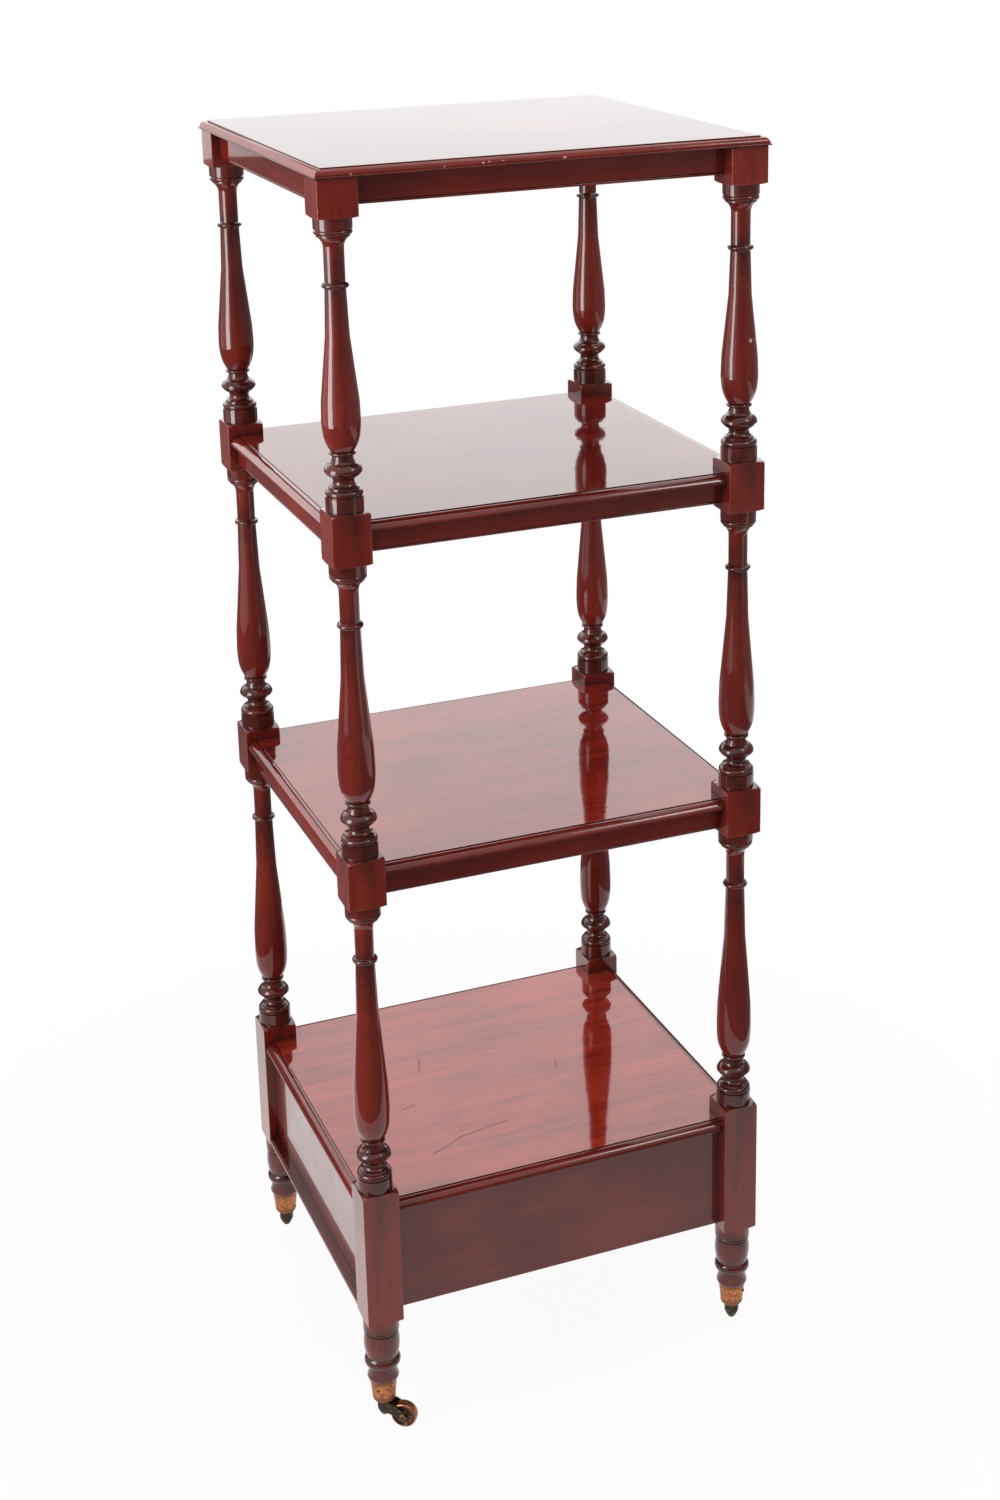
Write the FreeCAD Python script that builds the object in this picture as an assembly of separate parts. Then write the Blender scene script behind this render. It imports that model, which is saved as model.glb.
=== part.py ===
import FreeCAD, Part
import os
from math import atan2, hypot, tan

# A four-tier mahogany etagere: four turned uprights, a moulded top, two open shelves and a
# base with one drawer, on four brass socket castors. Millimetres, +Z up. The origin is on the
# floor, midway between the uprights. X runs along the two long faces, -Y is the front, and
# the drawer opens towards -X.

V = FreeCAD.Vector

# ---- plan -------------------------------------------------------------------------------
leg_spacing_x = 438.0        # centre to centre of the uprights, along the long faces
leg_spacing_y = 396.0        # centre to centre of the uprights, front to back
block = 41.2                 # square section of the uprights

# ---- heights, from the floor up -----------------------------------------------------------
foot_height = 142.0          # floor to the base block
base_block_height = 164.0
lower_bay_height = 343.0     # turned length between two blocks
middle_block_height = 55.0
middle_bay_height = 320.0
upper_block_height = 55.0
upper_bay_height = 293.0
top_block_height = 39.5

# ---- boards -------------------------------------------------------------------------------
board_thickness = 9.5
top_overhang = 2.9           # top board past the blocks
top_mould_width = 9.0
top_bead_height = 1.6        # small bead under the ovolo of the top
top_bead_nose = 0.6
top_ovolo_set_in = 1.4       # foot of the ovolo behind the edge
shelf_set_in_x = 1.6         # shelf edge inside the block faces, at the short ends
shelf_set_in_y = 7.1         # and at the long faces
shelf_mould_width = 12.0
mould_step = 1.2             # little step between a flat surface and its moulding
mould_bulge = 2.4            # swell of the mouldings
shelf_edge_height = 1.8      # upright arris under the thumb moulding
shelf_drop = 13.0            # block top above an open shelf
base_shelf_drop = 19.0       # block top above the base shelf

# ---- rails and base panels ---------------------------------------------------------------
rail_thickness = 18.0
rail_set_in_x = 9.6          # short rails behind the block faces
rail_set_in_y = 18.6         # long rails behind the block faces
top_rail_height = 30.0
upper_rail_height = 25.0
middle_rail_height = 28.0
rail_bead = 2.6              # bead along the lower outer edge of each rail
rail_bead_nose = 0.5
rail_bead_bulge = 0.8
rail_quirk_depth = 1.4       # sunk line over the bead
rail_quirk_rise = 0.4        # its bottom above the bead
rail_quirk_height = 1.1
tenon_length = 14.0
tenon_thickness = 7.0
tenon_shoulder = 3.0
joint_gap = 0.1              # glue room round a tenon
panel_set_in = 16.6          # long base panels behind the block faces
panel_thickness = 18.0
panel_lift = 6.0             # panels above the bottom of the base blocks
end_panel_set_in = 11.6      # drawer front and right-hand end panel behind the block faces
end_rail_height = 8.0        # low rail under the drawer and under the end panel
end_rail_lift = 2.5
end_rail_depth = 46.0
end_rail_nose = 2.4          # rounded over at its outer edge
end_rail_nose_bulge = 0.7
end_tenon_set_in = 8.0       # its tenon behind the block faces
end_tenon_width = 14.0
end_tenon_height = 5.4

# ---- drawer --------------------------------------------------------------------------------
drawer_front_thickness = 18.0
drawer_side_thickness = 9.0
drawer_back_thickness = 9.0
drawer_bottom_thickness = 6.0
drawer_bottom_lift = 6.0     # bottom board above the lower edge of the sides
drawer_side_drop = 8.0       # sides lower than the front
drawer_groove = 4.0
drawer_lap = 4.0             # wood left in front of the lapped corner joints
drawer_gap = 0.75            # running room each side
drawer_front_gap = 0.4       # room over and under the drawer front
drawer_ride = 0.1            # lower edges of the sides over the runners
drawer_stop_length = 12.0
drawer_stop_height = 18.0
drawer_stop_gap = 0.3
runner_reach = 16.0          # runners and kickers past the guides, under and over the drawer
guide_height = 30.0
kicker_height = 7.0
dovetail_count = 3
dovetail_share = 0.68        # width of a tail at its root, share of the pitch
dovetail_slope = 0.17

# ---- glue blocks ---------------------------------------------------------------------------
glue_block_leg = 12.0
glue_block_length = 42.0
glue_block_place = 0.25      # from the middle of a long rail, share of the leg spacing

# ---- turning -------------------------------------------------------------------------------
neck_radius = 10.2
throat_radius = 10.5         # under the astragal, where a baluster starts to swell
baluster_radius = 19.8
baluster_end_radius = 11.8
belly_share = 0.19           # fullest place of a baluster above its lower end, share of length
flare_share = 0.7            # where the hollow flare turns into the full belly
low_turn_height = 20.0       # start of the quicker lower curve
low_turn_drop = 0.8
low_turn_bulge = 1.35
block_shoulder = 0.4         # round shoulder of a block inside its faces
pommel_low = 1.5             # corners of a block turned away at its lower end
pommel_high = 3.5            # and at its upper end
pommel_bulge = 0.25          # roundness of both, share of their height
core_share = 0.75            # turned outline inside the blocks, share of their half width

# Profiles are (radius, distance, bulge) down the turning. The bulge belongs to the stretch
# that ends there: 0 is straight, a positive one swells out and a negative one is hollow.
head_profile = (             # distance below the block above
    (19.2, 0.0, 0), (19.2, 11.0, 0),                                     # collar
    (18.2, 11.3, 0), (18.2, 12.0, 0), (17.5, 16.8, 1.2),                 # quirk and bead
    (16.6, 16.8, 0), (16.6, 18.6, 0), (neck_radius, 30.0, -1.8),         # fillet and cove
    (neck_radius, 63.2, 0),
    (11.2, 64.0, 0), (11.2, 69.0, 2.4), (throat_radius, 69.8, 0),        # astragal
)
ornament_profile = (         # distance above the block below
    (baluster_end_radius, 61.0, low_turn_bulge),
    (11.6, 60.8, 0), (11.6, 57.2, 1.9), (10.5, 56.6, 0),                 # ring
    (12.6, 49.0, -0.5), (14.3, 48.4, 0),                                 # waist
    (19.3, 42.0, 0.9), (19.3, 40.6, 0), (14.4, 35.4, 0.4),               # disc
    (13.3, 35.0, 0), (14.6, 25.2, -3.1),                                 # scotia
    (15.8, 24.6, 0), (15.8, 22.4, 0), (18.9, 16.8, 1.6),                 # fillet and torus
    (18.2, 16.2, 0), (18.2, 15.6, 0), (19.5, 15.2, 0), (19.5, 0.0, 0),   # quirk and plinth
)
foot_profile = (             # distance below the base block
    (20.4, 0.0, 0), (20.4, 14.2, 0),                                     # collar
    (19.5, 14.6, 0), (19.5, 17.8, 0.6),                                  # thin bead
    (18.0, 18.2, 0), (18.0, 19.4, 0), (18.9, 19.8, 0),                   # quirk
    (18.0, 49.8, 1.9), (17.4, 50.6, 0),                                  # bulb
    (17.4, 62.8, 3.1), (16.4, 63.4, 0),                                  # torus
    (16.3, 67.0, 0), (17.9, 76.4, -0.5), (17.9, 77.6, 0),                # flare and lip
    (15.8, 82.0, 0.5),                                                   # under it, to the cup
)

# ---- castors -------------------------------------------------------------------------------
castor_trail = 23.4          # swivel axis to wheel axis
wheel_radius = 15.0
wheel_width = 11.0
wheel_bore_gap = 0.08
wheel_side_gap = 0.5
wheel_dish = 1.4             # hollow in each face of the wheel
axle_radius = 2.0
axle_fit = 0.03
rivet_height = 0.9
rivet_radius = 3.4
rivet_crown_radius = 1.1
rivet_bulge = 0.3
wheel_rim_width = 3.6
wheel_hub_wall = 2.6
wheel_slope = 0.8            # slope of the dished face at the rim and at the hub
wheel_round = 1.6            # rounding of the tread's edges
wheel_crown = 0.4            # swell of the tread
cheek_thickness = 2.4
horn_profile = (             # from the top forwards: ahead of and above the axle, bulge
    (-11.2, 13.6, 0.6), (5.2, 0.0, 1.6), (0.0, -5.2, 1.5), (-4.2, -3.1, 0.5),
)
horn_root_rise = 5.1         # underside of the cheeks at the swivel, above the boss's lower end
horn_root_bulge = 1.4
boss_radius = 8.0
boss_foot_radius = 4.6
boss_flank_height = 8.5      # rounded lower part of the boss
boss_flank_bulge = 0.5
boss_gap = 0.3
horn_clearance = 0.8         # round the tread of the wheel
pin_radius = 3.0
pin_fit = 0.05
pin_swivel_gap = 0.08
pin_head_radius = 4.4
pin_head_height = 2.0
pin_crown_radius = 2.2
pin_head_bulge = 0.4
pin_tip_radius = 1.0         # pointed upper end
pin_tip_length = 3.0
pin_bottom = 11.0            # head of the swivel pin above the floor
pin_grip = 16.0              # length of the pin inside the foot
pin_end_gap = 0.3
cup_bottom = 31.5            # underside of the cup above the floor
cup_height = 28.5
cup_wall = 1.6
cup_floor = 4.0
cup_top_radius = 15.4
cup_low_radius = 13.0
cup_foot_radius = 9.8
cup_round = 6.5              # height of the rounded lower end of the cup
cup_bulge = 1.2
cup_rim_height = 2.0         # thickened rim
cup_rim_step = 0.4
cup_fit = 0.1
screw_radius = 1.1
screw_head_radius = 2.2
screw_crown_radius = 1.2
screw_head_height = 1.0
screw_seat = 0.25            # head proud of the tapered cup
screw_length = 9.0
screw_height = 19.0          # fixing screw above the underside of the cup

# Way each castor points at rest: degrees from +X, turning towards +Y.
castor_heading = {
    "front_left": -37.0,
    "front_right": 62.0,
    "back_right": 118.0,
    "back_left": 75.0,
}

# ---- derived levels ------------------------------------------------------------------------
base_block_low = foot_height
base_block_top = base_block_low + base_block_height
middle_block_low = base_block_top + lower_bay_height
middle_block_top = middle_block_low + middle_block_height
upper_block_low = middle_block_top + middle_bay_height
upper_block_top = upper_block_low + upper_block_height
top_block_low = upper_block_top + upper_bay_height
top_block_top = top_block_low + top_block_height

base_shelf_top = base_block_top - base_shelf_drop
middle_shelf_top = middle_block_top - shelf_drop
upper_shelf_top = upper_block_top - shelf_drop
base_shelf_under = base_shelf_top - board_thickness
end_rail_low = foot_height + end_rail_lift
end_rail_top = end_rail_low + end_rail_height

half_x = leg_spacing_x / 2
half_y = leg_spacing_y / 2
half_block = block / 2
core_radius = half_block * core_share
outer_x = half_x + half_block        # outer faces of the blocks
outer_y = half_y + half_block
inner_x = half_x - half_block        # inner faces of the blocks
inner_y = half_y - half_block

past = 1.0                           # how far a cutting tool reaches past what it cuts
quarter_sag = 1 - 0.5 ** 0.5         # sag of a quarter round, share of its radius

corners = {
    "front_left": (-1, -1),
    "front_right": (1, -1),
    "back_right": (1, 1),
    "back_left": (-1, 1),
}

nodes = {}
mortises = []                        # tool solids that the uprights are cut with


# ---- small helpers -------------------------------------------------------------------------
def box(x_low, x_high, y_low, y_high, z_low, z_high):
    """A square-edged block between two corners."""
    size = (x_high - x_low, y_high - y_low, z_high - z_low)
    return Part.makeBox(*size, V(x_low, y_low, z_low))


def rod(radius, z_low, z_high, x=0.0, y=0.0):
    """An upright cylinder."""
    return Part.makeCylinder(radius, z_high - z_low, V(x, y, z_low))


def joined(*solids):
    """One solid from several that touch."""
    return solids[0].fuse(list(solids[1:])).removeSplitter()


def turned(solid, degrees):
    """The solid turned about the upright axis through the origin."""
    result = solid.copy()
    result.rotate(V(0, 0, 0), V(0, 0, 1), degrees)
    return result


def moved(solid, x, y, z=0.0):
    result = solid.copy()
    result.translate(V(x, y, z))
    return result


class Outline:
    """A flat outline in the XZ plane, drawn from point to point with lines and arcs."""

    def __init__(self, x, z):
        self.start = V(x, 0, z)
        self.at = self.start
        self.edges = []

    def line(self, x, z):
        end = V(x, 0, z)
        self.edges.append(Part.LineSegment(self.at, end).toShape())
        self.at = end
        return self

    def arc(self, x, z, sag):
        """An arc to (x, z), straight without sag. A positive one bulges to the left."""
        if not sag:
            return self.line(x, z)
        end = V(x, 0, z)
        way = end - self.at
        left = V(-way.z, 0, way.x)
        left.normalize()
        middle = (self.at + end) * 0.5 + left * sag
        self.edges.append(Part.Arc(self.at, middle, end).toShape())
        self.at = end
        return self

    def upright_arc(self, x, z, side):
        """An arc to (x, z) that is upright at one end. Side 1 bulges left, -1 right."""
        run, rise = abs(x - self.at.x), abs(z - self.at.z)
        sag = hypot(run, rise) / 2 * tan(atan2(run, rise) / 2)
        return self.arc(x, z, side * sag)

    def closed_face(self):
        if (self.at - self.start).Length > 1e-7:
            self.line(self.start.x, self.start.z)
        return Part.Face(Part.Wire(self.edges))

    def spun(self):
        """The outline turned into a solid about the upright axis."""
        return self.closed_face().revolve(V(0, 0, 0), V(0, 0, 1), 360)

    def run_along_y(self, y_low, y_high):
        face = self.closed_face()
        face.translate(V(0, y_low, 0))
        return face.extrude(V(0, y_high - y_low, 0))


# ---- uprights ------------------------------------------------------------------------------
def squared_block(z_low, z_high, low_cut, high_cut):
    """A square block whose ends are rounded over by the lathe at the corners."""
    corner = half_block * 2 ** 0.5 + past
    shoulder = half_block - block_shoulder
    envelope = Outline(0, z_low).line(shoulder, z_low)
    envelope.arc(corner, z_low + low_cut, -low_cut * pommel_bulge)
    envelope.line(corner, z_high - high_cut).arc(shoulder, z_high, -high_cut * pommel_bulge)
    envelope.line(0, z_high)
    square = box(-half_block, half_block, -half_block, half_block, z_low, z_high)
    return square.common(envelope.spun())


def draw(outline, profile, level, way):
    """Adds a profile to an outline; way is 1 for distances upwards, negative downwards."""
    for radius, distance, bulge in profile:
        outline.arc(radius, level + way * distance, bulge)


def draw_bay(outline, top, bottom):
    """Adds one turned bay, from the block above it down to the block below it."""
    draw(outline, head_profile, top, -1)
    flare_top = outline.at.z
    belly_end = bottom + ornament_profile[0][1]
    fullest = belly_end + belly_share * (flare_top - belly_end)
    middle = flare_top - flare_share * (flare_top - fullest)
    middle_radius = throat_radius + flare_share * (baluster_radius - throat_radius)
    outline.upright_arc(middle_radius, middle, -1)
    outline.upright_arc(baluster_radius, fullest, 1)
    outline.upright_arc(baluster_radius - low_turn_drop, belly_end + low_turn_height, 1)
    draw(outline, ornament_profile, bottom, 1)
    outline.line(core_radius, bottom)


def draw_foot(outline, top, bottom):
    """Adds the turned foot under the base block, down to the rim of the castor cup."""
    draw(outline, foot_profile, top, (bottom - top) / foot_profile[-1][1])


def foot_socket_radius(height):
    """Inner radius of the cup at a height above its underside: it tapers downwards."""
    share = (height - cup_floor) / (cup_height - cup_floor)
    low = cup_low_radius - cup_wall
    return low + share * (cup_top_radius - cup_wall - low)


def plain_upright():
    """One upright about its own axis, before its mortises are cut."""
    cup_rim = cup_bottom + cup_height
    blocks = [
        (base_block_low, base_block_top, pommel_high),
        (middle_block_low, middle_block_top, pommel_high),
        (upper_block_low, upper_block_top, pommel_high),
        (top_block_low, top_block_top, 0),
    ]
    outline = Outline(0, top_block_top).line(core_radius, top_block_top)
    outline.line(core_radius, top_block_low)
    draw_bay(outline, top_block_low, upper_block_top)
    outline.line(core_radius, upper_block_low)
    draw_bay(outline, upper_block_low, middle_block_top)
    outline.line(core_radius, middle_block_low)
    draw_bay(outline, middle_block_low, base_block_top)
    outline.line(core_radius, base_block_low)
    draw_foot(outline, base_block_low, cup_rim)
    # round tenon inside the castor cup
    tenon_low = cup_bottom + cup_floor + cup_fit
    outline.line(foot_socket_radius(cup_height) - cup_fit, cup_rim)
    outline.line(foot_socket_radius(cup_floor) - cup_fit, tenon_low)
    outline.line(0, tenon_low)
    solid = outline.spun()
    for low, high, high_cut in blocks:
        solid = solid.fuse(squared_block(low, high, pommel_low, high_cut))
    return solid.removeSplitter()


def make_uprights():
    plain = plain_upright()
    pin_hole = rod(pin_radius + pin_fit, 0, cup_bottom + cup_floor + pin_grip)
    for name, (side_x, side_y) in corners.items():
        x, y = side_x * half_x, side_y * half_y
        solid = moved(plain, x, y).cut(moved(pin_hole, x, y))
        near = [m for m in mortises if abs(m.CenterOfMass.x - x) < block
                and abs(m.CenterOfMass.y - y) < block]
        nodes["upright_" + name] = solid.cut(near + [screw_hole(name)])


# ---- boards --------------------------------------------------------------------------------
def moulded_board(half_long, half_wide, underside, edge):
    """A board with the same edge worked round all four sides, mitred at the corners. The
    edge is (set in, height, bulge) from the underside up."""
    def section(half):
        side = [(half - set_in, underside + height, bulge) for set_in, height, bulge in edge]
        outline = Outline(-side[0][0], side[0][1]).line(side[0][0], side[0][1])
        for x, z, bulge in side[1:]:
            outline.arc(x, z, -bulge)
        outline.line(-side[-1][0], side[-1][1])
        for (_, _, bulge), (x, z, _) in zip(side[:0:-1], side[-2::-1]):
            outline.arc(-x, z, -bulge)
        return outline
    lengthways = section(half_long).run_along_y(-half_wide, half_wide)
    crossways = turned(section(half_wide).run_along_y(-half_long, half_long), 90)
    return lengthways.common(crossways)


def corner_notches(z_low, z_high):
    """Square tools that let a shelf fit round the blocks of the four uprights."""
    return [box(x - half_block, x + half_block, y - half_block, y + half_block,
                z_low - past, z_high + past)
            for x in (-half_x, half_x) for y in (-half_y, half_y)]


def make_boards():
    mould_top = board_thickness - mould_step
    bead_and_ovolo = (
        (top_bead_nose, 0, 0), (top_bead_nose, top_bead_height, top_bead_nose),
        (top_ovolo_set_in, top_bead_height, 0), (top_mould_width, mould_top, mould_bulge),
        (top_mould_width, board_thickness, 0))
    thumb = (
        (0, 0, 0), (0, shelf_edge_height, 0), (shelf_mould_width, mould_top, mould_bulge),
        (shelf_mould_width, board_thickness, 0))
    nodes["top_board"] = moulded_board(outer_x + top_overhang, outer_y + top_overhang,
                                       top_block_top, bead_and_ovolo)
    for name, top in (("upper_shelf", upper_shelf_top), ("middle_shelf", middle_shelf_top),
                      ("base_shelf", base_shelf_top)):
        low = top - board_thickness
        board = moulded_board(outer_x - shelf_set_in_x, outer_y - shelf_set_in_y, low, thumb)
        nodes[name] = board.cut(corner_notches(low, top))


# ---- rails ---------------------------------------------------------------------------------
def rail(length, height, thickness, bead):
    """A rail along X, centred on X = 0, outer face at Y = 0 and underside at Z = 0, with a
    tenon at each end. Returns the rail and the two tools that cut its mortises."""
    inset = (thickness - tenon_thickness) / 2
    half = length / 2
    section = Outline(0, height).line(thickness, height).line(thickness, 0).line(bead, 0)
    if bead:
        section.arc(rail_bead_nose, bead, rail_bead_bulge)
        section.line(rail_quirk_depth, bead + rail_quirk_rise).line(0, bead + rail_quirk_height)
    body = turned(section.run_along_y(-half, half), 90)
    low, high = tenon_shoulder, height - tenon_shoulder
    gap = joint_gap
    tools = []
    for side in (-1, 1):
        ends = sorted((side * half, side * (half + tenon_length)))
        tenon = box(*ends, inset, inset + tenon_thickness, low, high)
        body = body.fuse(tenon)
        ends = sorted((side * (half - past), side * (half + tenon_length + gap)))
        tools.append(box(*ends, inset - gap, inset + tenon_thickness + gap,
                         low - gap, high + gap))
    return body.removeSplitter(), tools


def place_rail(name, side, made, set_in, z):
    """Puts a rail on one side of the frame: front, back, left or right."""
    angle, x, y = {
        "front": (0, 0, -outer_y + set_in),
        "back": (180, 0, outer_y - set_in),
        "left": (-90, -outer_x + set_in, 0),
        "right": (90, outer_x - set_in, 0),
    }[side]
    solid, tools = made
    nodes[name] = moved(turned(solid, angle), x, y, z)
    mortises.extend(moved(turned(tool, angle), x, y, z) for tool in tools)


def make_rails():
    levels = (
        ("top", top_block_top, top_rail_height),
        ("upper", upper_shelf_top - board_thickness, upper_rail_height),
        ("middle", middle_shelf_top - board_thickness, middle_rail_height),
    )
    for level, top, height in levels:
        long_rail = rail(2 * inner_x, height, rail_thickness, rail_bead)
        short_rail = rail(2 * inner_y, height, rail_thickness, rail_bead)
        for side in ("front", "back"):
            place_rail(f"{level}_rail_{side}", side, long_rail, rail_set_in_y, top - height)
        for side in ("left", "right"):
            place_rail(f"{level}_rail_{side}", side, short_rail, rail_set_in_x, top - height)


# ---- base ----------------------------------------------------------------------------------
def make_base():
    panel_low = foot_height + panel_lift
    panel_height = base_shelf_under - panel_low
    long_panel = rail(2 * inner_x, panel_height, panel_thickness, 0)
    place_rail("front_panel", "front", long_panel, panel_set_in, panel_low)
    place_rail("back_panel", "back", long_panel, panel_set_in, panel_low)
    end_height = base_shelf_under - end_rail_top
    end_panel = rail(2 * inner_y, end_height, panel_thickness, 0)
    place_rail("end_panel", "right", end_panel, end_panel_set_in, end_rail_top)
    place_rail("drawer_rail", "left", low_rail(), 0, end_rail_low)
    place_rail("end_rail", "right", low_rail(), 0, end_rail_low)


def low_rail():
    """The shallow rail under the drawer, flush with the blocks, its nose rounded over."""
    half = inner_y
    skin = (end_rail_height - end_tenon_height) / 2
    low, high = skin, end_rail_height - skin
    nose, bulge = end_rail_nose, end_rail_nose_bulge
    section = Outline(0, nose).line(0, end_rail_height - nose).arc(nose, end_rail_height, bulge)
    section.line(end_rail_depth, end_rail_height).line(end_rail_depth, 0)
    section.line(nose, 0).arc(0, nose, bulge)
    bar = turned(section.run_along_y(-half, half), 90)
    near, far = end_tenon_set_in, end_tenon_set_in + end_tenon_width
    tools = []
    for side in (-1, 1):
        ends = sorted((side * half, side * (half + tenon_length)))
        tenon = box(*ends, near, far, low, high)
        bar = bar.fuse(tenon)
        ends = sorted((side * (half - past), side * (half + tenon_length + joint_gap)))
        tools.append(box(*ends, near - joint_gap, far + joint_gap,
                         low - joint_gap, high + joint_gap))
    return bar.removeSplitter(), tools


# ---- drawer --------------------------------------------------------------------------------
def make_drawer():
    front_x = -outer_x + end_panel_set_in
    front_inner = front_x + drawer_front_thickness
    back_x = outer_x - end_panel_set_in - panel_thickness - drawer_stop_length - drawer_stop_gap
    back_inner = back_x - drawer_back_thickness
    width = inner_y - drawer_gap
    side_inner = width - drawer_side_thickness
    groove_y = side_inner + drawer_groove
    low = end_rail_top + drawer_ride
    high = base_shelf_under - drawer_front_gap
    side_high = high - drawer_side_drop
    groove_low = low + drawer_bottom_lift
    groove_high = groove_low + drawer_bottom_thickness

    front = box(front_x, front_inner, -width, width, end_rail_top + drawer_front_gap, high)
    tails = dovetails(front_x + drawer_lap, front_inner, side_inner, width, low, side_high)
    groove = box(front_inner - drawer_groove, front_inner + past, -side_inner, side_inner,
                 groove_low, groove_high)
    nodes["drawer_front"] = front.cut([tails, across_plan(tails), groove])

    side = joined(box(front_inner, back_x, side_inner, width, low, side_high), tails)
    bottom_groove = box(front_inner, back_x + past, side_inner - past, groove_y,
                        groove_low, groove_high)
    back_groove = box(back_inner, back_x + past, side_inner - past, groove_y,
                      groove_high, side_high + past)
    nodes["drawer_side_back"] = side.cut([bottom_groove, back_groove])
    nodes["drawer_side_front"] = across_plan(nodes["drawer_side_back"])
    nodes["drawer_back"] = box(back_inner, back_x, -groove_y, groove_y, groove_high, side_high)
    nodes["drawer_bottom"] = joined(
        box(front_inner, back_x, -groove_y, groove_y, groove_low, groove_high),
        box(front_inner - drawer_groove, front_inner, -side_inner, side_inner,
            groove_low, groove_high))
    make_drawer_guides(back_x + drawer_stop_gap)


def across_plan(solid):
    """The solid mirrored from the back half to the front half."""
    return solid.mirror(V(0, 0, 0), V(0, 1, 0))


def dovetails(x_low, x_high, y_low, y_high, z_low, z_high):
    """The tails on the front end of a drawer side: wider at their tips than at the root."""
    pitch = (z_high - z_low) / dovetail_count
    half_root = pitch * dovetail_share / 2
    half_tip = half_root + (x_high - x_low) * dovetail_slope
    tails = []
    for i in range(dovetail_count):
        middle = z_low + (i + 0.5) * pitch
        tail = Outline(x_high, middle - half_root).line(x_high, middle + half_root)
        tail.line(x_low, middle + half_tip).line(x_low, middle - half_tip)
        tails.append(tail.run_along_y(y_low, y_high))
    return Part.Compound(tails)


def make_drawer_guides(stop_x):
    """Runners under the drawer sides, guides beside them, kickers above and stops behind."""
    panel_inner = outer_y - panel_set_in - panel_thickness
    end_inner = outer_x - end_panel_set_in - panel_thickness
    runner_end = outer_x - end_rail_depth
    reach = inner_y - runner_reach
    kicker_low = base_shelf_under - kicker_height
    stop_y = inner_y - drawer_gap
    strips = {
        "drawer_runners": (-runner_end, runner_end, reach, panel_inner,
                           end_rail_low, end_rail_top),
        "drawer_guides": (-inner_x, inner_x, inner_y, panel_inner,
                          end_rail_top, end_rail_top + guide_height),
        "drawer_kickers": (-inner_x, inner_x, reach, panel_inner,
                           kicker_low, base_shelf_under),
        "drawer_stops": (stop_x, end_inner, reach, stop_y,
                         end_rail_top, end_rail_top + drawer_stop_height),
    }
    for name, limits in strips.items():
        strip = box(*limits)
        nodes[name] = Part.Compound([strip, across_plan(strip)])


# ---- glue blocks ---------------------------------------------------------------------------
def glue_blocks(board_under):
    """Triangular blocks rubbed into the corner between the rails and the board above."""
    section = Outline(0, 0).line(glue_block_leg, 0).line(0, -glue_block_leg)
    wedge = section.run_along_y(-glue_block_length / 2, glue_block_length / 2)
    face_x = outer_x - rail_set_in_x - rail_thickness
    face_y = outer_y - rail_set_in_y - rail_thickness
    solids = []
    for angle, x, y in ((0, -face_x, 0), (180, face_x, 0)):
        solids.append(moved(turned(wedge, angle), x, y, board_under))
    for angle, y in ((90, -face_y), (-90, face_y)):
        for share in (-glue_block_place, glue_block_place):
            x = share * leg_spacing_x
            solids.append(moved(turned(wedge, angle), x, y, board_under))
    return Part.Compound(solids)


def make_glue_blocks():
    nodes["top_glue_blocks"] = glue_blocks(top_block_top)
    nodes["upper_glue_blocks"] = glue_blocks(upper_shelf_top - board_thickness)
    nodes["middle_glue_blocks"] = glue_blocks(middle_shelf_top - board_thickness)


# ---- castors -------------------------------------------------------------------------------
def screw_place(name):
    """Axis point and outward direction of a cup's fixing screw, on its outward corner."""
    side_x, side_y = corners[name]
    away = V(side_x, side_y, 0)
    away.normalize()
    share = (screw_height - cup_round) / (cup_height - cup_rim_height - cup_round)
    radius = cup_low_radius + share * (cup_top_radius - cup_rim_step - cup_low_radius)
    centre = V(side_x * half_x, side_y * half_y, cup_bottom + screw_height)
    return centre + away * radius, away


def screw_hole(name):
    point, away = screw_place(name)
    depth = screw_length + joint_gap
    return Part.makeCylinder(screw_radius + joint_gap, depth + past,
                             point - away * depth, away)


def cup_screw(name):
    """Round-headed screw through the side of a cup: a low dome on a thin shank."""
    point, away = screw_place(name)
    shank = Part.makeCylinder(screw_radius, screw_length + screw_seat,
                              point - away * screw_length, away)
    head = Part.makeCone(screw_head_radius, screw_crown_radius, screw_head_height,
                         point + away * screw_seat, away)
    return joined(shank, head)


def castor_cup():
    """Cast brass socket: a tapered cup with a rounded lower end."""
    rim = cup_bottom + cup_height
    turn = cup_bottom + cup_round
    outline = Outline(0, cup_bottom).line(cup_foot_radius, cup_bottom)
    outline.arc(cup_low_radius, turn, -cup_bulge)
    rim_low = rim - cup_rim_height
    outline.line(cup_top_radius - cup_rim_step, rim_low).line(cup_top_radius, rim_low)
    outline.line(cup_top_radius, rim).line(foot_socket_radius(cup_height), rim)
    outline.line(foot_socket_radius(cup_floor), cup_bottom + cup_floor)
    outline.line(0, cup_bottom + cup_floor)
    return outline.spun().cut(rod(pin_radius + pin_fit, 0, cup_bottom + cup_height))


def swivel_pin():
    """Pin that hangs the horn from the cup, its lower end riveted over."""
    head_top = pin_bottom + pin_head_height
    top = cup_bottom + cup_floor + pin_grip - pin_end_gap
    outline = Outline(0, pin_bottom).line(pin_crown_radius, pin_bottom)
    outline.arc(pin_head_radius, head_top, -pin_head_bulge)
    outline.line(pin_radius, head_top).line(pin_radius, top - pin_tip_length)
    outline.line(pin_tip_radius, top).line(0, top)
    return outline.spun()


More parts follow.
